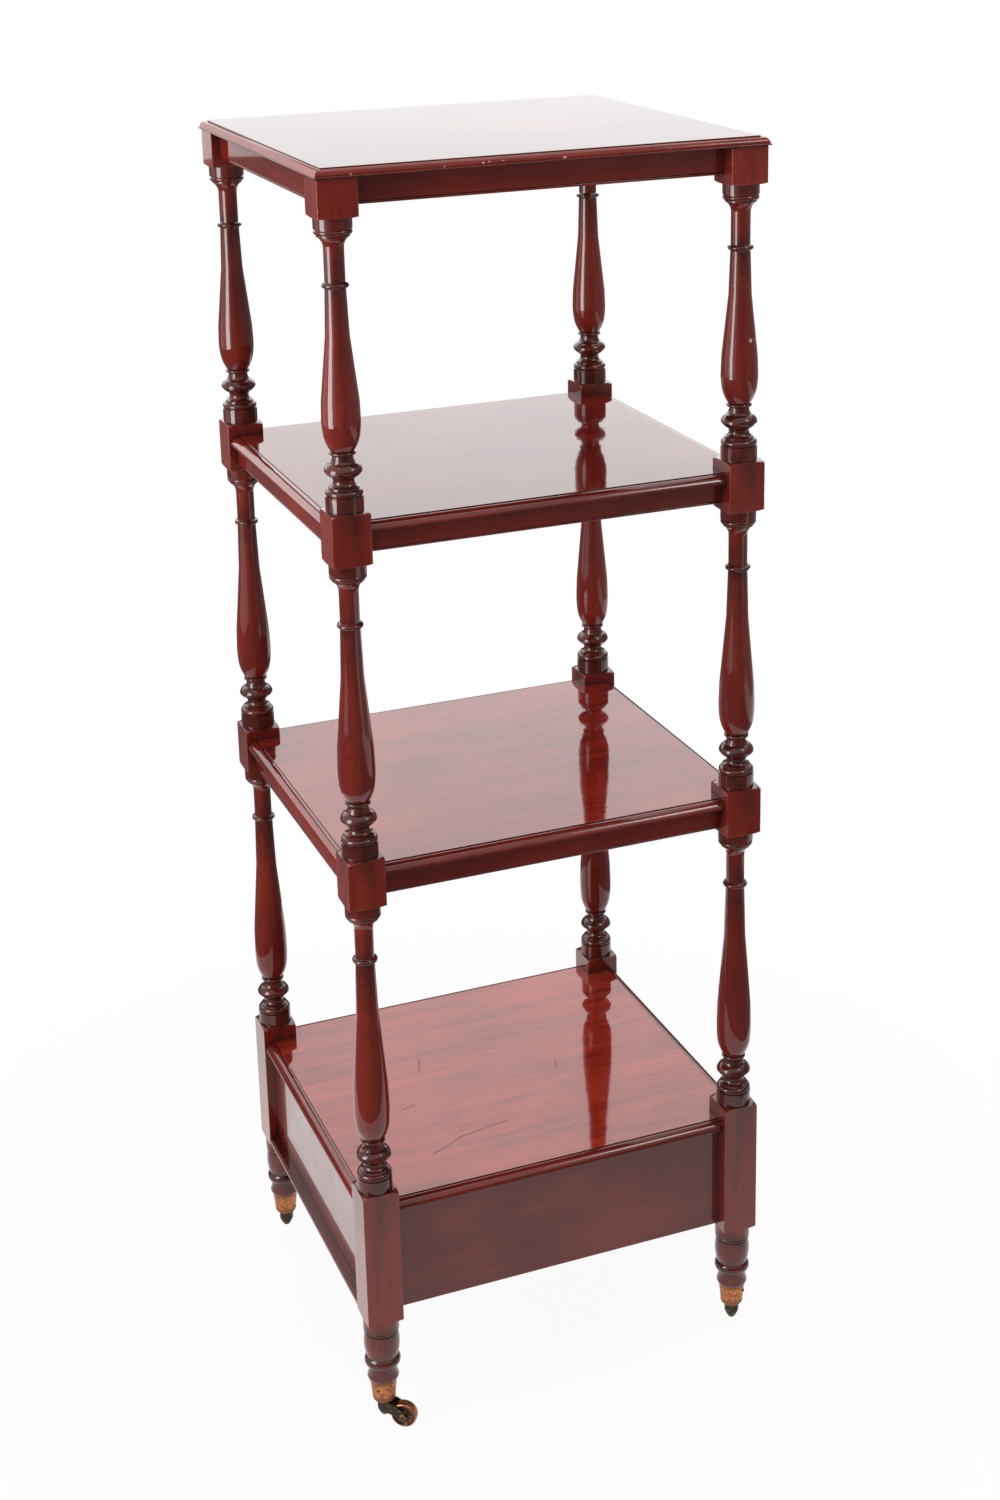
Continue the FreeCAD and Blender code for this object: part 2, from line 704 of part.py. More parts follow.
def castor_horn():
    """Swivelling horn: a boss on the pin and two cheeks that straddle the wheel."""
    boss_low = pin_bottom + pin_head_height + boss_gap
    boss_top = cup_bottom - boss_gap
    gap_half = wheel_width / 2 + wheel_side_gap
    outer = gap_half + cheek_thickness
    boss = Outline(0, boss_low).line(boss_foot_radius, boss_low)
    boss.arc(boss_radius, boss_low + boss_flank_height, -boss_flank_bulge)
    boss.line(boss_radius, boss_top).line(0, boss_top)
    # side view of the two cheeks, from over the pin round the end of the axle and back
    cheek = Outline(0, boss_top)
    for ahead, above, bulge in horn_profile:
        cheek.arc(castor_trail + ahead, wheel_radius + above, bulge)
    cheek.arc(0, boss_low + horn_root_rise, -horn_root_bulge)
    plate = cheek.run_along_y(-outer, outer)
    slot = box(boss_radius, castor_trail + 2 * wheel_radius, -gap_half, gap_half, 0, cup_bottom)
    room = across(wheel_radius + horn_clearance, -gap_half, gap_half)
    yoke = plate.cut([slot, room]).common(yoke_plan(outer))
    horn = boss.spun().fuse(yoke)
    pin_bore = rod(pin_radius + pin_swivel_gap, 0, cup_bottom)
    axle_bore = across(axle_radius + axle_fit, -outer - past, outer + past)
    return horn.cut([pin_bore, axle_bore]).removeSplitter()


def yoke_plan(outer):
    """Plan of the yoke: as narrow as the boss at the pin, full width from the wheel on."""
    far = castor_trail + wheel_radius
    points = [V(0, -boss_radius, 0), V(boss_radius, -outer, 0), V(far, -outer, 0),
              V(far, outer, 0), V(boss_radius, outer, 0), V(0, boss_radius, 0)]
    plan = Part.Face(Part.makePolygon(points + points[:1]))
    return plan.extrude(V(0, 0, cup_bottom))


def across(radius, y_low, y_high):
    """A cylinder along the wheel's axis."""
    return Part.makeCylinder(radius, y_high - y_low, V(castor_trail, y_low, wheel_radius),
                             V(0, 1, 0))


def spun_on_axle(outline):
    """Turns an outline of radius and width into a solid about the wheel's axis."""
    solid = outline.spun()
    solid.rotate(V(0, 0, 0), V(1, 0, 0), -90)
    return moved(solid, castor_trail, 0, wheel_radius)


def castor_axle():
    """Axle pin, riveted over outside each cheek."""
    half = wheel_width / 2 + wheel_side_gap + cheek_thickness + axle_fit
    outline = Outline(0, -half - rivet_height).line(rivet_crown_radius, -half - rivet_height)
    outline.arc(rivet_radius, -half, -rivet_bulge)
    outline.line(axle_radius, -half).line(axle_radius, half).line(rivet_radius, half)
    outline.arc(rivet_crown_radius, half + rivet_height, -rivet_bulge)
    outline.line(0, half + rivet_height)
    return spun_on_axle(outline)


def castor_wheel():
    """Cast brass wheel: crowned tread, rounded rim, dished faces and a raised hub."""
    half = wheel_width / 2
    floor = half - wheel_dish
    bore = axle_radius + wheel_bore_gap
    hub = axle_radius + wheel_hub_wall
    rim = wheel_radius - wheel_rim_width
    tread = wheel_radius - wheel_crown
    edge = half - wheel_round
    sag = wheel_round * quarter_sag
    outline = Outline(bore, -half).line(hub, -half).line(hub + wheel_slope, -floor)
    outline.line(rim, -floor).line(rim + wheel_slope, -half)
    outline.line(tread - wheel_round, -half).arc(tread, -edge, -sag)
    outline.arc(tread, edge, -wheel_crown).arc(tread - wheel_round, half, -sag)
    outline.line(rim + wheel_slope, half).line(rim, floor)
    outline.line(hub + wheel_slope, floor).line(hub, half).line(bore, half)
    return spun_on_axle(outline)


def make_castors():
    pieces = {
        "castor_cup_": castor_cup(),
        "castor_pin_": swivel_pin(),
        "castor_horn_": castor_horn(),
        "castor_axle_": castor_axle(),
        "castor_wheel_": castor_wheel(),
    }
    screws = []
    for name, (side_x, side_y) in corners.items():
        for prefix, piece in pieces.items():
            solid = moved(turned(piece, castor_heading[name]), side_x * half_x, side_y * half_y)
            if prefix == "castor_cup_":
                solid = solid.cut(screw_hole(name))
            nodes[prefix + name] = solid
        screws.append(cup_screw(name))
    nodes["castor_screws"] = Part.Compound(screws)


# ---- build and write -------------------------------------------------------------------------
make_boards()
make_rails()
make_base()
make_drawer()
make_glue_blocks()
make_uprights()
make_castors()

os.makedirs("parts", exist_ok=True)
for node_name, node_shape in nodes.items():
    node_shape.exportStep(os.path.join("parts", node_name + ".step"))
print(len(nodes), "nodes written")
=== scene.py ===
import math

import bpy
from mathutils import Matrix, Vector


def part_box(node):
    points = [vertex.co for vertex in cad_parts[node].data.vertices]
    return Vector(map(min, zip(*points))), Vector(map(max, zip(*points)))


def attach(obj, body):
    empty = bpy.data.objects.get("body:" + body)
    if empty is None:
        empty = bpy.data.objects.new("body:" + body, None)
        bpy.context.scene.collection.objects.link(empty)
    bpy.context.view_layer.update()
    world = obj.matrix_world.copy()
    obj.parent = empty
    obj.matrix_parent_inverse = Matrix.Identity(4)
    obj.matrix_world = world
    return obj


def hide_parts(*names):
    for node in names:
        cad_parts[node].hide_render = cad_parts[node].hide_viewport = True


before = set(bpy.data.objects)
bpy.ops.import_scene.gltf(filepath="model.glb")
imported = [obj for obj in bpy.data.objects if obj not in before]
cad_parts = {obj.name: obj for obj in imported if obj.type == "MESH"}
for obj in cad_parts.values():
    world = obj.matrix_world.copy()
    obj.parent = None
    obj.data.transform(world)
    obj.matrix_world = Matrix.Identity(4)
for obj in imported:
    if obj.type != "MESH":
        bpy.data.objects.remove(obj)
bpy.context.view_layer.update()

bl_info = {
    "name": "Turned Mahogany Etagere",
    "version": (1, 0, 0),
    "blender": (4, 5, 0),
    "location": "3D View > Sidebar > Etagere",
    "description": "Dresses a mahogany etagere with turned uprights and brass castors",
    "category": "Object",
}

CORNERS = ("front_left", "front_right", "back_right", "back_left")
# Each side as (axis that its rails run along, sign of the way that it faces).
SIDES = {"front": (0, -1), "back": (0, 1), "left": (1, -1), "right": (1, 1)}
TOP_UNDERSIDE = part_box("top_board")[0].z
FLOOR_RADIUS = 0.95
PAST = 0.001  # how far a hidden end runs into the wood beside it
SAME = 0.000002  # points nearer than this are one
ARC_STEP = math.radians(9.0)

# Profiles of the turning, downwards: (radius, distance, bulge of the stretch that ends there).
# A bulge of 0 is straight, a positive one swells out and a negative one is hollow.
HEAD_PROFILE = (  # distance below the block above
    (0.0192, 0.0, 0), (0.0192, 0.0110, 0),
    (0.0182, 0.0113, 0), (0.0182, 0.0120, 0), (0.0175, 0.0168, 0.0012),
    (0.0166, 0.0168, 0), (0.0166, 0.0186, 0), (0.0102, 0.0300, -0.0018),
    (0.0102, 0.0632, 0),
    (0.0112, 0.0640, 0), (0.0112, 0.0690, 0.0024), (0.0105, 0.0698, 0),
)
ORNAMENT_PROFILE = (  # distance above the block below
    (0.0118, 0.0610, 0.00135),
    (0.0116, 0.0608, 0), (0.0116, 0.0572, 0.0019), (0.0105, 0.0566, 0),
    (0.0126, 0.0490, -0.0005), (0.0143, 0.0484, 0),
    (0.0193, 0.0420, 0.0009), (0.0193, 0.0406, 0), (0.0144, 0.0354, 0.0004),
    (0.0133, 0.0350, 0), (0.0146, 0.0252, -0.0031),
    (0.0158, 0.0246, 0), (0.0158, 0.0224, 0), (0.0189, 0.0168, 0.0016),
    (0.0182, 0.0162, 0), (0.0182, 0.0156, 0), (0.0195, 0.0152, 0), (0.0195, 0.0, 0),
)
FOOT_PROFILE = (  # distance below the base block
    (0.0204, 0.0, 0), (0.0204, 0.0142, 0),
    (0.0195, 0.0146, 0), (0.0195, 0.0178, 0.0006),
    (0.0180, 0.0182, 0), (0.0180, 0.0194, 0), (0.0189, 0.0198, 0),
    (0.0180, 0.0498, 0.0019), (0.0174, 0.0506, 0),
    (0.0174, 0.0628, 0.0031), (0.0164, 0.0634, 0),
    (0.0163, 0.0670, 0), (0.0179, 0.0764, -0.0005), (0.0179, 0.0776, 0),
    (0.0154, 0.0820, 0.0005),
)

# Stretches of painted shade with ageing, each (from, to, share), by the profiles' distances.
HEAD_BANDS = ((-0.0001, 0.0190, 0.75), (0.0630, 0.0702, 0.85))
ORNAMENT_BAND = (-0.0001, 0.0612, 0.9)
FOOT_BANDS = ((0.0, 0.0800, 0.5), (0.0140, 0.0200, 0.95), (0.0496, 0.0640, 0.95),
              (0.0660, 0.0830, 0.65))
BAY_SHARE = 0.3  # in the rest of a bay

# Small damage: chips are (middle, radii), scratches have a turn about the upright too.
EDGE_CHIPS = (
    ((0.0141, -0.2208, 1.4147), (0.0021, 0.0030, 0.0012)),
    ((-0.0711, -0.2205, 1.4155), (0.0013, 0.0030, 0.0010)),
    ((-0.0649, -0.2205, 1.4160), (0.0010, 0.0030, 0.0008)),
    ((-0.0503, -0.2205, 1.4162), (0.0016, 0.0030, 0.0006)),
    ((-0.1112, -0.2208, 1.4148), (0.0009, 0.0030, 0.0008)),
    ((-0.2056, -0.2210, 1.4142), (0.0009, 0.0030, 0.0008)),
)
POST_CHIPS = (
    ((0.2233, -0.2142, 1.2095), (0.0024, 0.0030, 0.0022)),
    ((0.2311, -0.2095, 1.2095), (0.0014, 0.0030, 0.0013)),
)
SCRATCHES = [((x, y, 0.2870), (reach, 0.0008, 0.0020), angle) for x, y, reach, angle in (
    (-0.1077, -0.1264, 0.0290, 0.458), (-0.0570, -0.1106, 0.0350, 0.173),
    (-0.1243, -0.0331, 0.0100, 0.270), (-0.0807, 0.0507, 0.0140, -1.886),
    (0.0729, -0.0122, 0.0095, -1.930))]

# Waves to the metre in the patterns of the finishes.
CLOUDS, FLAMES, STREAKS, PORES, RAW_GRAIN = 6.0, 34.0, 210.0, 1500.0, 120.0
DULL_PATCHES, WAVES, RUBBED_AND_LIT_PATCHES, DUST, AGE_PATCHES, NICKS = 11.0, 22.0, 42.0, 60.0, 75.0, 130.0
TINGES, SKIN, CRUMBS = 70.0, 260.0, 900.0
# The share of its length across the grain that a pattern's wave keeps along it.
GRAIN_STRETCH, PORE_STRETCH, RAW_STRETCH = 0.09, 0.05, 0.06
# How far from an edge or a corner wear, dust and painted shade reach.
ARRIS_REACH, QUIRK_REACH, HOLLOW_REACH, NEAR_SHADE_REACH, DUST_AND_SHADE_REACH = 0.0016, 0.0016, 0.0055, 0.018, 0.02
METAL_EDGE_REACH, METAL_CORNER_REACH = 0.0010, 0.003
# How deep the bumps of a finish are.
PORE_DEPTH, PIT_DEPTH, STREAK_DEPTH, WAVE_DEPTH = 0.0002, 0.0003, 0.0006, 0.004
WHITE = (1.0, 1.0, 1.0, 1.0)


# ---- settings ----
def length(name, description, default):
    """A length in metres that shows in the sidebar."""
    return bpy.props.FloatProperty(name=name, description=description, default=default,
                                   unit="LENGTH", precision=4)


def share(name, description, default, low=0.0, high=1.0):
    return bpy.props.FloatProperty(name=name, description=description, default=default,
                                   min=low, max=high, subtype="FACTOR")


def colour(name, description, default):
    return bpy.props.FloatVectorProperty(name=name, description=description, default=default,
                                         subtype="COLOR", size=3, min=0.0, max=1.0)


def power(name, description, default):
    """The power of a lamp in watts."""
    return bpy.props.FloatProperty(name=name, description=description, default=default,
                                   unit="POWER", min=0.0)


def group(name, description, kind):
    return bpy.props.PointerProperty(name=name, description=description, type=kind)


class EtagereTurning(bpy.types.PropertyGroup):
    block: length("Block", "Side of the square blocks", 0.0412)
    arris: length("Arris", "Softened edge of the square blocks", 0.0006)
    pommel_low: length("Lower pommel", "Corners turned away at a block's lower end", 0.0015)
    pommel_high: length("Upper pommel", "Corners turned away at a block's upper end", 0.0035)
    foot_height: length("Foot", "Floor to the base block", 0.142)
    cup_rim: length("Cup rim", "Height of the castor cup's rim", 0.060)
    base_block: length("Base block", "Height of the base block", 0.164)
    lower_bay: length("Lower bay", "Turned length over the base block", 0.343)
    middle_block: length("Middle block", "Height of the middle block", 0.055)
    middle_bay: length("Middle bay", "Turned length over the middle block", 0.320)
    upper_block: length("Upper block", "Height of the upper block", 0.055)
    upper_bay: length("Upper bay", "Turned length over the upper block", 0.293)
    belly_radius: length("Belly radius", "Fullest radius of a baluster", 0.0198)
    low_turn_height: length("Lower turn", "Start of the lower curve above the end", 0.020)
    low_turn_drop: length("Turn drop", "Radius lost where the lower curve starts", 0.0008)
    belly_share: share("Belly place", "Fullest place above the lower end, share of length",
                       0.19, 0.05, 0.6)
    flare_share: share("Flare share", "Share of the swell that is a hollow flare",
                       0.7, 0.1, 0.9)
    segments: bpy.props.IntProperty(
        name="Segments", description="Faces round a turned part", default=64, min=12, max=128)


class EtagereBoards(bpy.types.PropertyGroup):
    notch_gap: length("Notch gap", "Joint line between a shelf and a block", 0.00015)
    step: length("Step", "Little step between a board's surface and its moulding", 0.0012)
    top_moulding: length("Top moulding", "Width of the top's ovolo", 0.009)
    shelf_moulding: length("Shelf moulding", "Width of the shelves' thumb moulding", 0.012)
    swell: length("Swell", "Bulge of the mouldings", 0.0024)
    board_arris: length("Board arris", "Softened edge of the boards", 0.0002)
    rail_bead: length("Rail bead", "Bead along the lower edge of a rail", 0.0026)
    rail_arris: length("Rail arris", "Softened edge of rails and panels", 0.0004)


class EtagereFinish(bpy.types.PropertyGroup):
    dark: colour("Dark grain", "Colour of the darkest streaks", (0.052, 0.0045, 0.0035))
    middle: colour("Middle grain", "Main colour of the mahogany", (0.145, 0.0105, 0.0065))
    light: colour("Light grain", "Colour of the palest streaks", (0.27, 0.028, 0.014))
    # rubbed arrises: wear together with a painted highlight along the edges
    wear_and_highlight: colour("Worn wood", "Colour of rubbed arrises", (0.38, 0.12, 0.06))
    bare: colour("Bare wood", "Colour of fresh chips and nicks", (0.60, 0.44, 0.36))
    # painted shade with ageing, for close mouldings, corners and the lines under edges
    aged_and_shaded: colour("Aged wood", "Wood between close mouldings", (0.030, 0.0075, 0.006))
    # old polish and dust, with painted shade, in the hollows and quirks; also fills scratches
    grime_and_shade: colour("Grime", "Old polish and dust in the hollows", (0.014, 0.006, 0.005))
    raw: colour("Secondary wood", "Unpolished wood inside the drawer", (0.42, 0.27, 0.145))
    copper: colour("Rubbed metal", "Copper tone of the rubbed cups", (0.74, 0.25, 0.09))
    rose: colour("Red brass", "Tinge of the rubbed cups, and the wheels", (0.74, 0.30, 0.14))
    gold: colour("Old brass", "Brass of the horns, pins and axles", (0.62, 0.42, 0.16))
    bronze: colour("Bronze", "Brown skin of the cups", (0.22, 0.095, 0.042))
    patina: colour("Patina", "Dark skin of the old castings", (0.055, 0.040, 0.028))


class EtagereStudio(bpy.types.PropertyGroup):
    floor_colour: colour("Floor", "Colour of the floor", (0.62, 0.62, 0.62))
    floor_white: share("Floor white", "Share of plain white in the floor by the object", 0.94)
    fill: share("Fill", "Even light of the whole room", 0.5)
    card: share("Cards", "Brightness of the dim cards that the polish mirrors", 0.16)
    card_ends: share("Card ends", "Brightness at the ends of the front card", 0.4)
    side_card: share("Side card", "Brightness of the card on the right", 0.3)
    back_wall: power("Back light", "Power of the wall of light behind", 20.5)
    left_box: power("Left light", "Power of the tall softbox on the left", 29.0)
    overhead: power("Overhead", "Power of the lamp above", 12.0)
    high_box: power("High light", "Power of the small softbox high on the right", 5.0)
    right_box: power("Right light", "Power of the wide softbox on the right", 13.0)


class EtagereSettings(bpy.types.PropertyGroup):
    turning: group("Turning", "Sizes of the uprights", EtagereTurning)
    boards: group("Boards", "Sizes of the boards and rails", EtagereBoards)
    finish: group("Finish", "Colours of the wood and the metal", EtagereFinish)
    studio: group("Studio", "Floor, cards and lamps", EtagereStudio)


# ---- shader helpers ----
def plug(node, inputs):
    """Sets inputs of a node: a socket is linked to them, a value is kept."""
    for key, value in inputs.items():
        if isinstance(value, bpy.types.NodeSocket):
            node.id_data.links.new(value, node.inputs[key])
        else:
            node.inputs[key].default_value = value


def add(tree, kind, inputs=None, **settings):
    """Adds a shader node with its settings and inputs."""
    node = tree.nodes.new("ShaderNode" + kind)
    for key, value in settings.items():
        setattr(node, key, value)
    plug(node, inputs or {})
    return node


def empty_nodes(store, name):
    """A new material or world, and its empty node tree."""
    block = store.new(name)
    block.use_nodes = True
    block.node_tree.nodes.clear()
    return block, block.node_tree


def start_material(name, **constants):
    """A new material with its surface shader, and the object's own coordinates."""
    material, tree = empty_nodes(bpy.data.materials, name)
    shader = add(tree, "BsdfPrincipled", constants)
    add(tree, "OutputMaterial", {"Surface": shader.outputs[0]})
    place = add(tree, "TexCoord").outputs["Object"]
    return material, tree, shader, place


def noise(tree, place, scale, detail=3.0, roughness=0.55, distortion=0.0):
    return add(tree, "TexNoise", {"Vector": place, "Scale": scale, "Detail": detail,
                                  "Roughness": roughness, "Distortion": distortion}).outputs[0]


def drawn_out(tree, place, axis, factor):
    """Coordinates that draw a pattern out along one axis."""
    factors = [1.0, 1.0, 1.0]
    factors[axis] = factor
    return add(tree, "VectorMath", {0: place, 1: factors}, operation="MULTIPLY").outputs[0]


def span(tree, value, low, high, to_low=0.0, to_high=1.0):
    """Maps a range to another, held at its ends."""
    return add(tree, "MapRange", {"Value": value, "From Min": low, "From Max": high,
                                  "To Min": to_low, "To Max": to_high}).outputs[0]


def maths(tree, operation, first, second):
    return add(tree, "Math", {0: first, 1: second}, operation=operation).outputs[0]


def times(tree, first, second):
    return maths(tree, "MULTIPLY", first, second)


def larger(tree, first, second):
    return maths(tree, "MAXIMUM", first, second)


def blend(tree, amount, first, second, kind="MIX"):
    """Two colours mixed; each is a colour or a socket."""
    def four(value):
        return value if isinstance(value, bpy.types.NodeSocket) else (*value, 1.0)
    mix = add(tree, "Mix", data_type="RGBA", blend_type=kind)
    plug(mix, {0: amount, 6: four(first), 7: four(second)})
    return mix.outputs[2]


def hollows(tree, reach, open_from=0.75, deep_at=0.25, most=1.0):
    """The most in corners and quirks, 0 in the open."""
    shade = add(tree, "AmbientOcclusion", {"Distance": reach}, samples=4)
    return span(tree, shade.outputs["AO"], open_from, deep_at, 0.0, most)


def arrises(tree, reach):
    """1 at outer edges, 0 elsewhere."""
    shade = add(tree, "AmbientOcclusion", {"Distance": reach}, samples=4, inside=True,
                only_local=True)
    return span(tree, shade.outputs["AO"], 0.85, 0.45)


def stroke(tree, place, middle, radii, angle=0.0):
    """1 inside a ragged spot, maybe drawn out long and turned about the upright."""
    local = add(tree, "Mapping", {"Vector": place, "Location": middle, "Scale": radii,
                                  "Rotation": (0.0, 0.0, angle)}, vector_type="TEXTURE")
    away = add(tree, "VectorMath", {0: local.outputs[0]}, operation="LENGTH").outputs["Value"]
    ragged = maths(tree, "ADD", away, noise(tree, place, CRUMBS, 1.0))
    return span(tree, ragged, 1.3, 1.5, 1.0, 0.0)


def bumped(tree, height, strength, distance, normal=None):
    inputs = {"Height": height, "Strength": strength, "Distance": distance}
    if normal is not None:
        inputs["Normal"] = normal
    return add(tree, "Bump", inputs).outputs["Normal"]


# ---- finishes ----
def figured(tree, place, axis, tones, warmth, figure):
    """The colour of the grain along one axis, and its streaks and pores for the bumps."""
    dark, middle, light = tones
    grain_place = drawn_out(tree, place, axis, GRAIN_STRETCH)
    pore_place = drawn_out(tree, place, axis, PORE_STRETCH)
    cloud = noise(tree, place, CLOUDS, 2.0)
    flame = noise(tree, grain_place, FLAMES, 4.0, 0.6, 1.1)
    streaks = noise(tree, grain_place, STREAKS, 3.0, 0.65)
    pores = noise(tree, pore_place, PORES, 1.0)
    tone = maths(tree, "ADD", times(tree, flame, 0.55 * figure),
                 times(tree, streaks, 0.30 * figure))
    tone = maths(tree, "ADD", tone, times(tree, cloud, 0.35))
    # a weak figure leaves the tone about where a full one has its middle
    tone = maths(tree, "ADD", tone, 0.425 * (1.0 - figure))
    low_tone = blend(tree, span(tree, tone, 0.42 - warmth, 0.60 - warmth), dark, middle)
    wood = blend(tree, span(tree, tone, 0.58 - warmth, 0.80 - warmth), low_tone, light)
    wood = blend(tree, span(tree, pores, 0.56, 0.70, 0.0, 0.55), wood, dark)
    return wood, streaks, pores


def rubbed_and_highlit_edges(tree, place, wood, wear_and_highlight, finish):
    """Outer edges rubbed pale in patches, wear together with a painted highlight along the
    arrises, and nicked in a few places.
    """
    edge = arrises(tree, ARRIS_REACH)
    for scale, detail, low, high, tone in ((RUBBED_AND_LIT_PATCHES, 3.0, 0.38, 0.56, finish.wear_and_highlight),
                                           (NICKS, 1.0, 0.70, 0.74, finish.bare)):
        spots = times(tree, edge, span(tree, noise(tree, place, scale, detail), low, high))
        wood = blend(tree, times(tree, spots, wear_and_highlight), wood, tone)
    return wood


def shaded_and_aged(tree, place, wood, shade_and_age, finish):
    """Painted shade with ageing between close mouldings and by corners, dust with painted shade in
    the hollows, and the share of that dust and shade.
    """
    # marked bands over the turnings and board edges: painted shade with ageing
    worked = add(tree, "Attribute", attribute_name="shade_and_age").outputs["Fac"]
    uneven = span(tree, noise(tree, place, AGE_PATCHES, 3.0), 0.35, 0.6, 0.55, 1.0)
    # painted shade within 18 mm of corners, under boards and along rails
    near_shade = hollows(tree, NEAR_SHADE_REACH, 0.92, 0.55, shade_and_age)
    wood = blend(tree, larger(tree, times(tree, worked, uneven), near_shade), wood, finish.aged_and_shaded)
    # painted shade with dust, darker in hollows and quirks
    dust_and_shade = larger(tree, hollows(tree, HOLLOW_REACH), hollows(tree, QUIRK_REACH, 0.85, 0.45))
    dust_and_shade = times(tree, dust_and_shade, span(tree, noise(tree, place, DUST), 0.3, 0.6, 0.6, 1.0))
    return blend(tree, times(tree, dust_and_shade, 0.92), wood, finish.grime_and_shade), dust_and_shade


def mahogany(name, axis, finish, warmth=0.0, lustre=0.0, haze=0.1, polish=1.0, gloss=1.5,
             figure=0.6, shade_and_age=0.3, wear_and_highlight=0.8, ripple=0.02, smear=0.0, chips=(), scratches=()):
    """Polished red mahogany with its grain along one axis: 0, 1 or 2 for X, Y or Z. The
    lustre is the red gleam of the wood, the haze that of dull old polish over it, the gloss
    how strongly the polish mirrors, the figure the contrast of the grain, the age how dark
    the wood is painted between close mouldings and by corners, a painted shade with ageing,
    worn how far its arrises are rubbed pale, wear with a painted highlight, and ripple and
    smear are how far the polish is from flat, all over and across the grain. Chips and
    scratches are spots for stroke to draw."""
    material, tree, shader, place = start_material(
        name, **{"Metallic": lustre, "Specular IOR Level": haze,
                 "Specular Tint": (1.0, 0.35, 0.25, 1.0),
                 "Coat Weight": polish, "Coat Roughness": 0.045, "Coat IOR": gloss})
    tones = [tuple(part / (1.0 - lustre) for part in tone)
             for tone in (finish.dark, finish.middle, finish.light)]
    wood, streaks, pores = figured(tree, place, axis, tones, warmth, figure)
    wood = rubbed_and_highlit_edges(tree, place, wood, wear_and_highlight, finish)
    wood, dust_and_shade = shaded_and_aged(tree, place, wood, shade_and_age, finish)
    for chip in chips:
        wood = blend(tree, stroke(tree, place, *chip), wood, finish.bare)
    cut = 0.0
    for scratch in scratches:
        line = stroke(tree, place, *scratch)
        wood = blend(tree, line, wood, finish.grime_and_shade)
        cut = maths(tree, "ADD", line, cut)
    dull = span(tree, noise(tree, place, DULL_PATCHES, 4.0, 0.6), 0.35, 0.7, 0.20, 0.38)
    dull = maths(tree, "ADD", dull, times(tree, dust_and_shade, 0.25))
    fine = bumped(tree, pores, 0.10, PORE_DEPTH)
    fine = bumped(tree, streaks, 0.06, STREAK_DEPTH, fine)
    drawn = bumped(tree, streaks, smear, STREAK_DEPTH)
    waves = bumped(tree, noise(tree, place, WAVES, 2.0), ripple, WAVE_DEPTH, drawn)
    if scratches:
        waves = bumped(tree, maths(tree, "SUBTRACT", 1.0, cut), 0.8, STREAK_DEPTH, waves)
    plug(shader, {"Base Color": wood, "Roughness": dull, "Normal": fine, "Coat Normal": waves})
    return material


def raw_wood(name, axis, finish):
    """Plain unpolished wood for what is hidden."""
    material, tree, shader, place = start_material(name, **{"Specular IOR Level": 0.3})
    grain = noise(tree, drawn_out(tree, place, axis, RAW_STRETCH), RAW_GRAIN, 4.0, 0.6, 0.6)
    shade = tuple(0.55 * part for part in finish.raw)
    wood = blend(tree, span(tree, grain, 0.35, 0.68), shade, finish.raw)
    # dust with painted shade, darker in the corners
    wood = blend(tree, times(tree, hollows(tree, DUST_AND_SHADE_REACH), 0.6), wood, finish.grime_and_shade)
    plug(shader, {"Base Color": wood, "Roughness": span(tree, grain, 0.3, 0.7, 0.62, 0.8),
                  "Normal": bumped(tree, grain, 0.15, STREAK_DEPTH)})
    return material


def old_metal(name, bright, tinge, dark, finish, rubbed, wheel=None, rims=None):
    """Cast brass: bright where it is rubbed, tinged at its edges and in clouds, dark where its
    old skin is left. A wheel, given by its middle, is bright all round its tread, and a cup
    is dark past its rims, two heights: old skin together with a painted shade."""
    material, tree, shader, place = start_material(name, **{"Metallic": 1.0})
    skin_and_shade = span(tree, noise(tree, place, SKIN, 4.0, 0.62), 0.50 - rubbed, 0.86 - rubbed,
                1.0, 0.0)
    if wheel:
        away = add(tree, "VectorMath", {0: place, 1: wheel}, operation="DISTANCE")
        face_radius, tread_radius = 0.0138, 0.0146
        tread = span(tree, away.outputs["Value"], face_radius, tread_radius, 1.0, 0.25)
        skin_and_shade = times(tree, skin_and_shade, tread)
    # painted shade with old skin: the cup darker past its lower and upper rims
    if rims:
        height = add(tree, "SeparateXYZ", {0: place}).outputs[2]
        for rim, fade, below, above in ((rims[0], 0.004, 0.95, 0.0),
                                        (rims[1], 0.002, 0.0, 0.95)):
            skin_and_shade = larger(tree, skin_and_shade, span(tree, height, rim - fade, rim + fade, below, above))
    corner = hollows(tree, METAL_CORNER_REACH)
    edge = arrises(tree, METAL_EDGE_REACH)
    metal = blend(tree, span(tree, noise(tree, place, TINGES), 0.4, 0.8), bright, tinge)
    metal = blend(tree, skin_and_shade, metal, dark)
    metal = blend(tree, times(tree, corner, 0.8), metal, finish.patina)
    metal = blend(tree, times(tree, edge, 0.3), metal, tinge)
    pits = noise(tree, place, CRUMBS, 3.0)
    plug(shader, {"Base Color": metal, "Roughness": span(tree, skin_and_shade, 0.0, 1.0, 0.27, 0.55),
                  "Normal": bumped(tree, pits, 0.25, PIT_DEPTH)})
    return material


# ---- modelling helpers ----
def pick(piece):
    """Makes one object the only selected and active one."""
    bpy.ops.object.select_all(action="DESELECT")
    piece.select_set(True)
    bpy.context.view_layer.objects.active = piece


